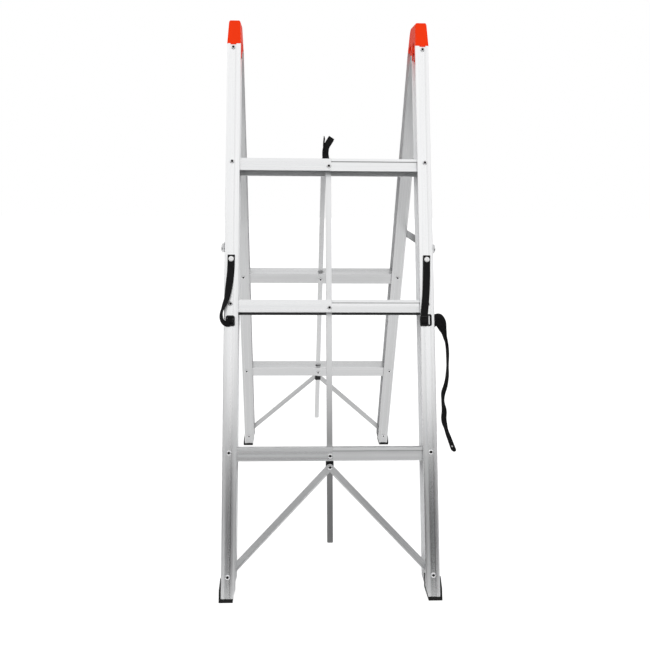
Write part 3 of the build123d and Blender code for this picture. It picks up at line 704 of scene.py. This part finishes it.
# Painted shade inside the rungs: the two lower rungs much darker than the top one.
HOLLOW_SHADE_BANDS = band_group("rung inside painted shade bands", up_the_ladder, [
    (0.25, 0.22, 0.60), (0.64, 0.22, 0.60), (0.80, 0.90, 0.50), (0.95, 0.92, 0.50)])
print("shader groups", [group.name for group in bpy.data.node_groups])

# %% [markdown]
# Faces that look at the other side of the ladder are sheltered, and they and the treads of the rungs
# take darker copies of the metal: painted shade. The inside of a section keeps the die's grey, a less
# metallic finish, and the rear side's inside is a darker copy of it, also painted shade. A brace is
# drawn at a slant, so its lines are turned to follow it.

# %% Metals of each side
GREY_BLUE = (1.0, 1.006, 1.012)
BRACE_SLANT = radians(44.2)   # a brace away from upright
BRACE_ROUGH = 0.36
turns = {side: leaned[side].to_euler("XYZ") for side in leaned}


def alloy(name, side, light, dark, rough, run="Z", bands=None, turn=None, metallic=1):
    """One aluminium of one side, from two grey levels with a slight blue cast."""
    tones = [[tone * cast for cast in GREY_BLUE] for tone in (light, dark)]
    return metal(f"{side} {name}", turn or turns[side], *tones, rough, run, bands, metallic)


def alloys(name, *levels, **more):
    """The same aluminium for each side."""
    return {side: alloy(name, side, *levels, **more) for side in turns}


def brace_alloys(name, light, dark):
    """One finish of the braces for each side and slant."""
    finishes = {}
    for side in turns:
        for sign in (-1, 1):
            turn = leaned[side].to_3x3() @ Matrix.Rotation(-sign * BRACE_SLANT, 3, "Y")
            finishes[side, sign] = alloy(f"{name} {sign} metal", side, light, dark, BRACE_ROUGH,
                                         turn=turn.to_euler("XYZ"))
    return finishes


rail_metal = alloys("rail metal", 0.96, 0.90, 0.3, bands=RAIL_SHADE_BANDS)
# Backs of the rails: a darker copy of the rail metal, with painted shade.
rail_back_shade = alloys("rail back painted shade metal", 0.98, 0.90, 0.34, bands=BACK_SHADE_BANDS)
# The rear side's inside is a darker copy of the inside metal: painted shade.
channel_metal = {"front": alloy("inside metal", "front", 0.96, 0.90, 0.5, metallic=0.15),
                 "rear": alloy("inside metal", "rear", 0.76, 0.68, 0.5, metallic=0.35)}
outer_metal = alloys("outer rung metal", 0.89, 0.84, 0.3, "X", OUTER_SHADE_BANDS)
inner_metal = alloys("inner rung metal", 0.94, 0.89, 0.3, "X", INNER_SHADE_BANDS)
# Backs and treads of the rungs: darker copies of the rung metal, painted shade.
rung_back_shade = alloys("rung back painted shade metal", 0.63, 0.57, 0.34, "X")
tread_shade_metal = alloys("tread painted shade metal", 0.70, 0.62, 0.33, "X")
# Insides of the rungs: painted shade, much darker on the two lower rungs.
hollow_shade_metal = alloys("rung inside painted shade metal", 0.84, 0.74, 0.5, "X", HOLLOW_SHADE_BANDS)
# The bar takes painted shade, darker lower down.
bar_metal = alloys("bar metal", 0.90, 0.84, 0.36, bands=BAR_SHADE_BANDS)
link_metal = alloy("link metal", "front", 0.74, 0.66, 0.36)
brace_metal = brace_alloys("brace", 0.90, 0.74)
# Backs of the braces and the bar: darker copies, painted shade.
brace_back_shade = brace_alloys("brace back painted shade", 0.52, 0.42)
bar_back_shade = alloys("bar back painted shade metal", 0.63, 0.58, 0.36)
print("metals ready for", sorted(turns))

# %% [markdown]
# Plastic and rubber are moulded, so they carry a fine grain from the mould. One group gives the
# grain as a value, and each material takes its own colour, gloss and depth from it.

# %% Moulded plastics and rubber
GRAIN_SHADE = 0.86        # colour in the hollows of the grain
GRAIN_RUB = 0.06          # how far the grain changes the roughness
GRAIN_BUMP = 0.4


def mould_grain():
    """Group: fine grain of a mould, at a named scale."""
    takes = {"Vector": "Vector", "Scale": "Float"}
    group, given, leave = new_group("mould grain", takes, {"Grain": "Float"})
    feeds = {"Vector": given["Vector"], "Scale": given["Scale"], "Detail": 3}
    feed(group, leave, {"Grain": add(group, "ShaderNodeTexNoise", feeds).outputs["Fac"]})
    return group


GRAIN = mould_grain()


def moulded(name, colour, rough, grain, depth, shine=0.5, metallic=0):
    """Moulded plastic or rubber with a fine grain of the given size."""
    finish, tree, shader = new_finish(name, {"Metallic": metallic, "Specular IOR Level": shine})
    spot = add(tree, "ShaderNodeTexCoord", {}).outputs["Object"]
    grains = add(tree, "ShaderNodeGroup", {"Vector": spot, "Scale": 1 / grain}, node_tree=GRAIN)
    rise = grains.outputs["Grain"]
    rub = {"To Min": rough - GRAIN_RUB, "To Max": rough + GRAIN_RUB}
    feed(tree, shader, {"Base Color": tinted(tree, rise, [c * GRAIN_SHADE for c in colour], colour),
                        "Roughness": spread(tree, rise, rub),
                        "Normal": bumped(tree, rise, GRAIN_BUMP, depth)})
    return finish


rivet_metal = moulded("bright rivet metal", (0.84, 0.84, 0.85), 0.2, 0.002, 0.00003, metallic=1)
# The rivet pit's near-black finish is painted shade.
pit_shade = moulded("rivet pit painted shade", (0.02, 0.02, 0.02), 0.7, 0.002, 0.00003, 0.1)
cap_plastic = moulded("orange cap plastic", (0.95, 0.042, 0.004), 0.5, 0.0009, 0.00004, 0.06)
boot_rubber = moulded("black boot rubber", (0.007, 0.007, 0.007), 0.6, 0.0007, 0.00008, 0.25)
black_plastic = moulded("black moulded plastic", (0.010, 0.010, 0.011), 0.45, 0.0006, 0.00003, 0.25)
stud_plastic = moulded("white stud plastic", (0.86, 0.86, 0.86), 0.3, 0.001, 0.00002)
print("moulded finishes ready")

# %% [markdown]
# The straps are woven, so the pattern follows the band: its own UV map runs along and across it. A
# slanted wave gives the ribs of the twill, as a tone and as a bump.

# %% Webbing
WEAVE_PITCH = 0.0011
WAVE_RATE = 20            # Blender's wave turns through this many radians a unit
TWILL_SLANT = radians(32)
TWILL_WOBBLE = 0.4
TWILL_BUMP = 0.6
TWILL_DEPTH = 0.0003


def webbing_finish(name, dark, light):
    """Webbing: a slanted twill from the band's own UV map."""
    finish, tree, shader = new_finish(name, {"Roughness": 0.8, "Specular IOR Level": 0.12})
    lie = add(tree, "ShaderNodeUVMap", {}, uv_map="weave").outputs["UV"]
    turned = add(tree, "ShaderNodeMapping", {"Vector": lie, "Rotation": (0, 0, TWILL_SLANT)})
    feeds = {"Vector": turned.outputs["Vector"], "Scale": 2 * pi / (WAVE_RATE * WEAVE_PITCH),
             "Distortion": TWILL_WOBBLE}
    rib = add(tree, "ShaderNodeTexWave", feeds).outputs["Fac"]
    feed(tree, shader, {"Base Color": tinted(tree, rib, dark, light),
                        "Normal": bumped(tree, rib, TWILL_BUMP, TWILL_DEPTH)})
    return finish


webbing = webbing_finish("black webbing", (0.004, 0.004, 0.004), (0.014, 0.014, 0.015))
bands = (*ties.values(), *threads.values(), loose, fold)
buckles = (*blocks.values(), loop)
for pieces, finish in ((bands, webbing), (buckles, black_plastic), ([eyelet], stud_plastic)):
    for piece in pieces:
        piece.data.materials.append(finish)
print("webbing on", len(bands), "bands")

# %% [markdown]
# The CAD solids have razor edges, and their meshes are loose triangles that a Bevel modifier can't
# round. So a copy of each is welded, its flat faces are made whole, and a small bevel rounds the
# edges, which then catch the light. Some corners are rounder than the rest: the long corners of a
# rail, as the die leaves them, and the top of a cap. A test picks the finish of each face: the inside
# of a section takes a less metallic grey, and the tread and the back take darker copies of the metal,
# which are painted shade.

# %% Softened copies
CORNER_ROUND = 0.0016
CREASE = radians(50)      # an edge sharper than this stays sharp in the shading
upright = {side: leaned[side].inverted() for side in leaned}


def softened(node, width, finishes, side="front", pick=None, is_corner=None, trim=None):
    """Copy of a CAD node with rounded edges, which stands for that node."""
    back = upright[side]
    mesh = bmesh.new()
    mesh.from_mesh(frame["nodes"][node].data)
    weld(mesh)
    if pick:
        for face in mesh.faces:
            face.material_index = pick(back @ face.calc_center_median(), back.to_3x3() @ face.normal)
    if is_corner:
        corners = [e for e in mesh.edges if all(is_corner(back @ v.co) for v in e.verts)]
        bevel(mesh, corners, CORNER_ROUND, segments=4)
    if trim:
        trim(mesh)
    rounded(mesh, width)
    piece = new_piece(f"{node}_dressed", mesh)
    piece.data.set_sharp_from_angle(angle=CREASE)
    for finish in finishes:
        piece.data.materials.append(finish)
    piece.modifiers.new("flat shading", "WEIGHTED_NORMAL").keep_sharp = True
    return dress(piece, body_of[node], slot_of[node], node)


print("corners rounded by", CORNER_ROUND, "m")

# %% Faces of the sections
# BACK and TREAD faces take darker copies of the metal: painted shade.
OUTSIDE, INSIDE, BACK, TREAD = 0, 1, 2, 3
SQUARE = 0.7              # a face looks along an axis when its normal is past this
MIDDLE = -0.026           # middle of a rail's depth, from the hinge plane
CHANNEL = 0.0202          # that middle to the inside of a flange
WEB_INSIDE = 0.2177       # inside of a rail's web
RAIL_OUTER = 0.2195       # outside of a rail's web
RAIL_HALF = 0.022         # half a rail's depth
NEAR = 0.0003


def rail_face(at, turn):
    """Finish of a rail's face: its channel, its sheltered flange or the rest."""
    off = at.y - MIDDLE
    web = abs(abs(at.x) - WEB_INSIDE) < NEAR and turn.x * at.x < 0
    flange = abs(abs(off) - CHANNEL) < NEAR and turn.y * off < 0
    if web or flange:
        return INSIDE
    return BACK if turn.y > SQUARE else OUTSIDE


def flat_face(at, turn):
    """Finish of a bar's or brace's face: 1 where it looks at the other side of the ladder."""
    return int(turn.y > SQUARE)


def rung_face(at, turn):
    """Finish of a half rung's face: its inside, its tread, its sheltered web or the rest."""
    web = abs(turn.y) > SQUARE and turn.y * (at.y - MIDDLE) < 0
    if web or turn.z < -SQUARE:
        return INSIDE
    return TREAD if turn.z > SQUARE else BACK if turn.y > SQUARE else OUTSIDE


def rail_corner(at):
    """True on the long corners between a rail's web and its flanges."""
    return abs(abs(at.x) - RAIL_OUTER) < NEAR and abs(abs(at.y - MIDDLE) - RAIL_HALF) < NEAR


print("finishes are picked by face: outside, inside, back and tread")

# %% Trims of rungs and caps
RUNG_FOOT = 0.0250        # below a tread, where the foot of a rung's web starts
NOSING = 0.0060           # depth of the inner half's nosing
BACK_DROP = 0.0026        # a rung's sheltered web reaches this much lower than its face
CAP_TOP = 1.156
CAP_SIDES = (0.1916, 0.2156)   # sides of a cap at its top, from the middle of the ladder
CAP_ROUND = 0.0036
CAP_CUTS = [radians(15 * k) for k in range(1, 6)]
SHOULDER = 0.022               # round of a rear cap's shoulder, over the rear rail
SHOULDER_Y = 0.0161            # middle of that round
SHOULDER_CUTS = [radians(8 * k) for k in range(1, 9)]


def longer_back(mesh, side, half, tread):
    """Carry a half rung's sheltered web lower, and make room for it in the nosing there."""
    drop = heading(side, 0, 0, -BACK_DROP)
    for vert in mesh.verts:
        at = upright[side] @ vert.co
        below = tread - (at.z + CLIMB)
        if at.y > MIDDLE and below > RUNG_FOOT:
            vert.co += drop
        elif at.y > MIDDLE and half == "inner" and abs(below - NOSING) < NEAR:
            vert.co -= drop


def shave(mesh, middle, flat, radius):
    """Cut a mesh by a plane that touches a round at its middle, and close the cut."""
    bmesh.ops.bisect_plane(mesh, geom=[*mesh.verts, *mesh.edges, *mesh.faces], clear_outer=True,
                           plane_co=middle + flat * radius, plane_no=flat)
    bmesh.ops.holes_fill(mesh, edges=[e for e in mesh.edges if e.is_boundary], sides=0)


def cap_top(mesh, side, sign):
    """Round the side edges along a cap's top, and on a rear cap the shoulder."""
    if side == "rear":
        middle = Vector((0, SHOULDER_Y, CAP_TOP - SHOULDER))
        for tilt in SHOULDER_CUTS:
            shave(mesh, middle, Vector((0, sin(tilt), cos(tilt))), SHOULDER)
    for toward, x in zip((-1, 1), CAP_SIDES):
        middle = Vector((sign * (x - toward * CAP_ROUND), 0, CAP_TOP - CAP_ROUND))
        for tilt in CAP_CUTS:
            shave(mesh, middle, Vector((sign * toward * sin(tilt), 0, cos(tilt))), CAP_ROUND)
    bmesh.ops.recalc_face_normals(mesh, faces=mesh.faces)


print("a rung's back reaches", BACK_DROP, "m lower")

# %% Soften every section, cap and boot
EDGE = 0.0004
BOOT_EDGE = 0.0009
CAP_EDGE = 0.0008
COLLAR_EDGE = 0.0006
RUNG_LEVELS = [FIRST_RUNG + k * RUNG_PITCH for k in range(3)]
HAND = {"left": -1, "right": 1}


def hand(side, word):
    """Sign of x of the left or right rail in the upright frame of its side."""
    return HAND[word] if side == "front" else -HAND[word]


for side in leaned:
    for word, sign in HAND.items():
        brace = side, hand(side, word)
        finishes = [kind[side] for kind in (rail_metal, channel_metal, rail_back_shade)]
        softened(f"{side}_{word}_rail", EDGE, finishes, side, rail_face, rail_corner)
        softened(f"{side}_{word}_brace", EDGE, (brace_metal[brace], brace_back_shade[brace]), side, flat_face)
        softened(f"{side}_{word}_foot", BOOT_EDGE, [boot_rubber])
        softened(f"{side}_{word}_hinge_cap", CAP_EDGE, [cap_plastic],
                 trim=lambda mesh: cap_top(mesh, side, sign))
    for k, height in enumerate(RUNG_LEVELS, 1):
        for half, face_metal in (("outer", outer_metal), ("inner", inner_metal)):
            finishes = [kind[side] for kind in (face_metal, hollow_shade_metal, rung_back_shade, tread_shade_metal)]
            softened(f"{side}_{half}_half_rung_{k}", EDGE, finishes, side, rung_face,
                     trim=lambda mesh: longer_back(mesh, side, half, height + TREAD_UP))
    softened(f"{side}_center_bar", EDGE, (bar_metal[side], bar_back_shade[side]), side, flat_face)
    softened(f"{side}_slider_collar", COLLAR_EDGE, [black_plastic])
for word in HAND:
    for side in leaned:
        softened(f"{word}_spreader_{side}_link", EDGE, [link_metal])
    softened(f"{word}_hinge_pin", EDGE, [rivet_metal])
print("softened the sections, caps, boots and links")

# %% [markdown]
# The hood of each front cap ends in a low tongue that fills the rail's groove, so the cap can't
# turn on the rail. Inside the rail two thin ears reach down along the mouth of the channel, one
# behind each flange, and leave the middle free for the folded bar. All are thin rounded plates.

# %% Cap tongues and ears
RAIL_TOP = CLIMB - 0.0092   # top of a rail under the cap's hood
EAR_X = (-0.0157, -0.0141)
CAP_PLATES = {            # spans of x from the rivet line, y and height
    "tongue": ((-0.0063, 0.0063), (FACE + 0.0001, FACE + 0.0005), (RAIL_TOP - 0.0022, RAIL_TOP + 0.0004)),
    "ear_1": (EAR_X, (-0.0460, -0.0315), (RAIL_TOP - 0.0300, RAIL_TOP + 0.0005)),
    "ear_2": (EAR_X, (-0.0125, -0.0059), (RAIL_TOP - 0.0140, RAIL_TOP + 0.0005)),
}
PLATE_EDGE = 0.00015
PLATE_TAPER = 0.88        # depth of a plate's foot, as a share of its top


def cap_plate(name, word, spans):
    """Thin plate of a front cap between its spans."""
    mesh = bmesh.new()
    bmesh.ops.create_cube(mesh, size=1)
    middle = sum(spans[1]) / 2
    for vert in mesh.verts:
        taper = 1 if vert.co.z > 0 else PLATE_TAPER
        x, y, height = [(low + high) / 2 + share * (high - low)
                        for (low, high), share in zip(spans, vert.co)]
        vert.co = place("front", HAND[word] * (PIVOT_X + x), middle + (y - middle) * taper, height)
    bmesh.ops.recalc_face_normals(mesh, faces=mesh.faces)
    rounded(mesh, PLATE_EDGE)
    piece = new_piece(f"front_{word}_cap_{name}", mesh)
    piece.data.materials.append(cap_plastic)
    return dress(piece, f"front_{word}_rail", slot_of[f"front_{word}_hinge_cap"])


cap_plates = [cap_plate(name, word, spans) for word in HAND for name, spans in CAP_PLATES.items()]
print("cap plates", [piece.name for piece in cap_plates])

# %% [markdown]
# Every pivot is a rivet: a shank with a domed head that has a deep pit from the riveting punch. The
# pit's near-black finish is painted shade. They repeat all over the ladder, so Geometry Nodes place
# them. A cloud of points says where each head or shank goes, which way it faces and how large it is,
# and the tree puts a turned shape on each. A mark on the faces of the pit lets the tree give them
# their near-black finish.

# %% Turned shapes
PIT = 0.51                # radius of the pit, as a share of the head
PIT_FLOOR = 0.05          # below the floor of the pit, as a share of the head's height
HEAD_PROFILE = [(0, 0), (1, 0), (1, 0.14), (0.96, 0.42), (0.87, 0.72), (0.74, 0.93), (0.62, 1.0),
                (0.55, 0.95), (PIT, 0.80), (0.48, 0.12), (0, 0.06)]
SHANK_PROFILE = [(0, 0), (1, 0), (1, 1), (0, 1)]
head_shape = lathe("rivet_head", HEAD_PROFILE, sides=20)
shank_shape = lathe("rivet_shank", SHANK_PROFILE, sides=16)
in_pit = head_shape.data.attributes.new("pit", "BOOLEAN", "FACE")
for face in head_shape.data.polygons:
    in_pit.data[face.index].value = face.center.xy.length < PIT and face.center.z > PIT_FLOOR
print("turned shapes", head_shape.name, shank_shape.name)

# %% Rivet tree
POINT_MARKS = {"out": "FLOAT_VECTOR", "size": "FLOAT_VECTOR", "shank": "BOOLEAN"}
RIVET_INPUTS = {"Geometry": "Geometry", "Head": "Object", "Shank": "Object", "Finish": "Material",
                "Pit": "Material"}


def rivet_tree():
    """Geometry Nodes: a head or a shank on every point, and the identifiers of its inputs."""
    tree, given, leave = new_group("rivets", RIVET_INPUTS, {"Geometry": "Geometry"}, "GeometryNodeTree")
    tree.is_modifier = True
    marks = {label: add(tree, "GeometryNodeInputNamedAttribute", {"Name": label}, data_type=kind).outputs
             for label, kind in {**POINT_MARKS, "pit": "BOOLEAN"}.items()}
    out, size, shank, pit = [outputs["Attribute"] for outputs in marks.values()]
    turn = add(tree, "FunctionNodeAlignRotationToVector", {"Vector": out}, axis="Z")
    no_shank = add(tree, "FunctionNodeBooleanMath", {0: shank}, operation="NOT")
    join = add(tree, "GeometryNodeJoinGeometry", {})
    for label, chosen in (("Head", no_shank.outputs[0]), ("Shank", shank)):
        shape = add(tree, "GeometryNodeObjectInfo", {"Object": given[label]})
        copies = add(tree, "GeometryNodeInstanceOnPoints", {
            "Points": given["Geometry"], "Selection": chosen, "Instance": shape.outputs["Geometry"],
            "Rotation": turn.outputs["Rotation"], "Scale": size})
        feed(tree, join, {"Geometry": copies.outputs["Instances"]})
    shape = add(tree, "GeometryNodeRealizeInstances", {"Geometry": join.outputs["Geometry"]})
    for coat in ({"Material": given["Finish"]}, {"Material": given["Pit"], "Selection": pit}):
        shape = add(tree, "GeometryNodeSetMaterial", {"Geometry": shape.outputs["Geometry"], **coat})
    feed(tree, leave, {"Geometry": shape.outputs["Geometry"]})
    inputs = [item for item in tree.interface.items_tree if item.in_out == "INPUT"]
    return tree, {item.name: item.identifier for item in inputs}


RIVETS, RIVET_SOCKETS = rivet_tree()
RIVET_PARTS = {"Head": head_shape, "Shank": shank_shape, "Finish": rivet_metal, "Pit": pit_shade}


def rivet_piece(name, points):
    """Plain mesh of the rivets at points, each (place, out, size, is shank)."""
    cloud = bpy.data.meshes.new(name)
    cloud.from_pydata([p[0] for p in points], [], [])
    for column, (label, kind) in enumerate(POINT_MARKS.items(), 1):
        mark = cloud.attributes.new(label, kind, "POINT")
        for item, point in zip(mark.data, points):
            setattr(item, "value" if kind == "BOOLEAN" else "vector", point[column])
    holder = bpy.data.objects.new(name, cloud)
    grow = holder.modifiers.new("rivets", "NODES")
    grow.node_group = RIVETS
    for label, thing in RIVET_PARTS.items():
        grow[RIVET_SOCKETS[label]] = thing
    bpy.context.scene.collection.objects.link(holder)
    mesh = plain_mesh(holder)
    holder.modifiers.remove(grow)
    holder.data = mesh
    return holder


print("rivet tree takes", sorted(RIVET_SOCKETS))

# %% [markdown]
# The places of the rivets come from the ladder's own levels. A rail holds its three rung rivets, the
# cap's rivet, the two halves of the brace pivot and the spreader bolt. The centre bar holds one rivet
# a rung. A cloud of points for each CAD node keeps the rivets on the body that carries them.

# %% Pins and bolts
HEAD_R = 0.005
HEAD_HEIGHT = 0.0022
RIVET_R = 0.0032
BOLT_LEVEL = CLIMB - 0.45593
BOLT_R = 0.003
BOLT_HEAD_R = 0.0098
BOLT_HEAD_HEIGHT = 0.0026
BOLT_SEATS = {"front": 0.22525, "rear": 0.22245}
SPACER_R = 0.006
SPACER_THICK = 0.00295


def pin(side, x, height, low, high, ends):
    """Rivet between two distances in front of the middle, with a head at each listed end."""
    forward = heading(side, 0, -1, 0)
    points = [(place(side, x, MIDDLE - low, height), forward, (RIVET_R, RIVET_R, high - low), True)]
    for end in ends:
        out = forward if end == high else -forward
        points.append((place(side, x, MIDDLE - end, height), out, (HEAD_R, HEAD_R, HEAD_HEIGHT), False))
    return points


def bolt(side, sign):
    """Spreader bolt of one rail, with a spacer under the front side's outer link."""
    out = heading(side, sign, 0, 0)
    seat = BOLT_SEATS[side]

    def at(x):
        """Point on the bolt's axis at a distance from the middle of the ladder."""
        return place(side, sign * x, MIDDLE, BOLT_LEVEL)

    points = [(at(WEB_INSIDE), out, (BOLT_R, BOLT_R, seat - WEB_INSIDE), True),
              (at(seat), out, (BOLT_HEAD_R, BOLT_HEAD_R, BOLT_HEAD_HEIGHT), False)]
    if side == "front":
        points.append((at(RAIL_OUTER), out, (SPACER_R, SPACER_R, SPACER_THICK), True))
    return points


print("bolts at", round(BOLT_LEVEL, 4), "m up the climbing face")

# %% Rivets of each body
CENTER_DROP = 0.0075      # centre rivet below the rail rivets of its rung
CAP_RIVET = CLIMB - 0.0177   # rivet that holds a cap in its rail
BRACE_PIVOT = 0.0485
BRACE_FLAT = {-1: 0.0013, 1: 0.0066}   # back of a brace in front of the rail's middle
BRACE_WALL = 0.0016
PLAY = 0.0003
COLLAR_RIVET = 0.260
RAIL_SEAT = 0.0215        # groove floor from the middle of the rail's depth
CENTER_SEAT = 0.01755     # face of a rung's web
COLLAR_SEAT = 0.00825
COLLAR_INSIDE = -0.0012
KNUCKLE_HEIGHT = 0.675
KNUCKLE = (0.2226, 0.2251)
KNUCKLE_HEAD_R = 0.0065


def rail_rivets(side, sign):
    """Points of every rivet that one rail carries."""
    x = sign * PIVOT_X
    flat = BRACE_FLAT[sign]
    points = []
    for height in (*RUNG_LEVELS, CAP_RIVET):
        points += pin(side, x, height, -RAIL_SEAT, RAIL_SEAT, (-RAIL_SEAT, RAIL_SEAT))
    points += pin(side, x, BRACE_PIVOT, flat + BRACE_WALL + PLAY, RAIL_SEAT, (RAIL_SEAT,))
    points += pin(side, x, BRACE_PIVOT, -RAIL_SEAT, flat - PLAY, (-RAIL_SEAT,))
    return points + bolt(side, sign)


rivet_points = {}
for side in leaned:
    for word in HAND:
        rivet_points[f"{side}_{word}_rail_rivets"] = rail_rivets(side, hand(side, word))
    ends = -CENTER_SEAT, CENTER_SEAT
    rivet_points[f"{side}_center_rivets"] = [
        point for height in RUNG_LEVELS for point in pin(side, 0, height - CENTER_DROP, *ends, ends)]
    collar = pin(side, 0, COLLAR_RIVET, COLLAR_INSIDE, COLLAR_SEAT, (COLLAR_SEAT,))
    rivet_points[f"{side}_collar_rivet"] = collar
for word, sign in HAND.items():
    out = Vector((sign, 0, 0))
    low, high = [Vector((sign * x, 0, KNUCKLE_HEIGHT)) for x in KNUCKLE]
    rivet_points[f"{word}_spreader_rivet"] = [
        (low, out, (BOLT_R, BOLT_R, KNUCKLE[1] - KNUCKLE[0]), True),
        (high, out, (KNUCKLE_HEAD_R, KNUCKLE_HEAD_R, BOLT_HEAD_HEIGHT), False)]
for node, points in rivet_points.items():
    dress(rivet_piece(f"{node}_turned", points), body_of[node], slot_of[node], node)
print(sum(map(len, rivet_points.values())), "heads and shanks on", len(rivet_points), "nodes")
for shape in (head_shape, shank_shape):
    bpy.data.objects.remove(shape)

# %% [markdown]
# The studs of the ties are white moulded domes with a small gate mark in the middle. Each is turned
# about its own axis and then set on the climbing face.

# %% Strap studs
STUD_LEVEL = 0.690
STUD_X = 0.2055
STUD_SEAT = 0.0034        # top of the strap in front of the climbing face
STUD_PROFILE = [(0, -0.0039), (0.00235, -0.0039), (0.00235, 0), (0.0056, 0), (0.0056, 0.0004),
                (0.0053, 0.0013), (0.0043, 0.0021), (0.0028, 0.0025), (0.0010, 0.0026), (0.0007, 0.0022),
                (0, 0.0022)]
for word, sign in HAND.items():
    stud = lathe(f"{word}_stud_dome", STUD_PROFILE, sides=32)
    stand(stud, place("front", sign * STUD_X, FACE - STUD_SEAT, STUD_LEVEL), heading("front", 0, -1, 0))
    stud.data.materials.append(stud_plastic)
    dress(stud, f"front_{word}_rail", slot_of[f"{word}_strap_stud"], f"{word}_strap_stud")
print("studs set")

# %% [markdown]
# A pull strap is one length of webbing wrapped round the top of the centre bar and sewn, so it ends
# in two tails. One tail stands nearly on edge and the other leans over. Both straps lean the same
# way in the room, so the tails of the rear one are mirrored about the place where they are sewn.

# %% Pull straps
PULL_WIDTH = 0.014
BAR_Y = -0.022            # middle of the centre bar
TAILS = {                 # x, distance in front of the bar, height
    "standing": [(-0.0045, 0.0034, 0.9120), (-0.0050, 0.0034, 0.9190), (-0.0085, 0.0010, 0.9295),
                 (-0.0100, 0.0002, 0.9385), (-0.0098, 0.0000, 0.9510), (-0.0080, 0.0000, 0.9655)],
    "leaning": [(-0.0045, -0.0034, 0.9120), (-0.0045, -0.0034, 0.9190), (-0.0065, -0.0005, 0.9290),
                (-0.0045, 0.0010, 0.9430), (0.0020, 0.0012, 0.9545), (0.0079, 0.0012, 0.9640)],
}
TAIL_TURNS = {"standing": [(0, 0), (0.14, 0), (0.34, 80), (1, 80)], "leaning": [(0, 0), (1, 6)]}
BASE_X = -0.0045          # where a strap is sewn, to the climber's left of the bar's middle
for side, lean in (("front", 1), ("rear", -1)):
    node = f"{side}_pull_strap"
    for tail, route in TAILS.items():
        path = smooth_line([place(side, BASE_X + lean * (x - BASE_X), BAR_Y - out, height)
                            for x, out, height in route])
        strap = band(f"{side}_pull_{tail}_tail", path, TAIL_TURNS[tail], heading(side, 0, 1, 0), PULL_WIDTH)
        strap.data.materials.append(webbing)
        dress(strap, body_of[node], "webbing", node)
        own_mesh(strap)
print("pull straps have", len(TAILS), "tails each")
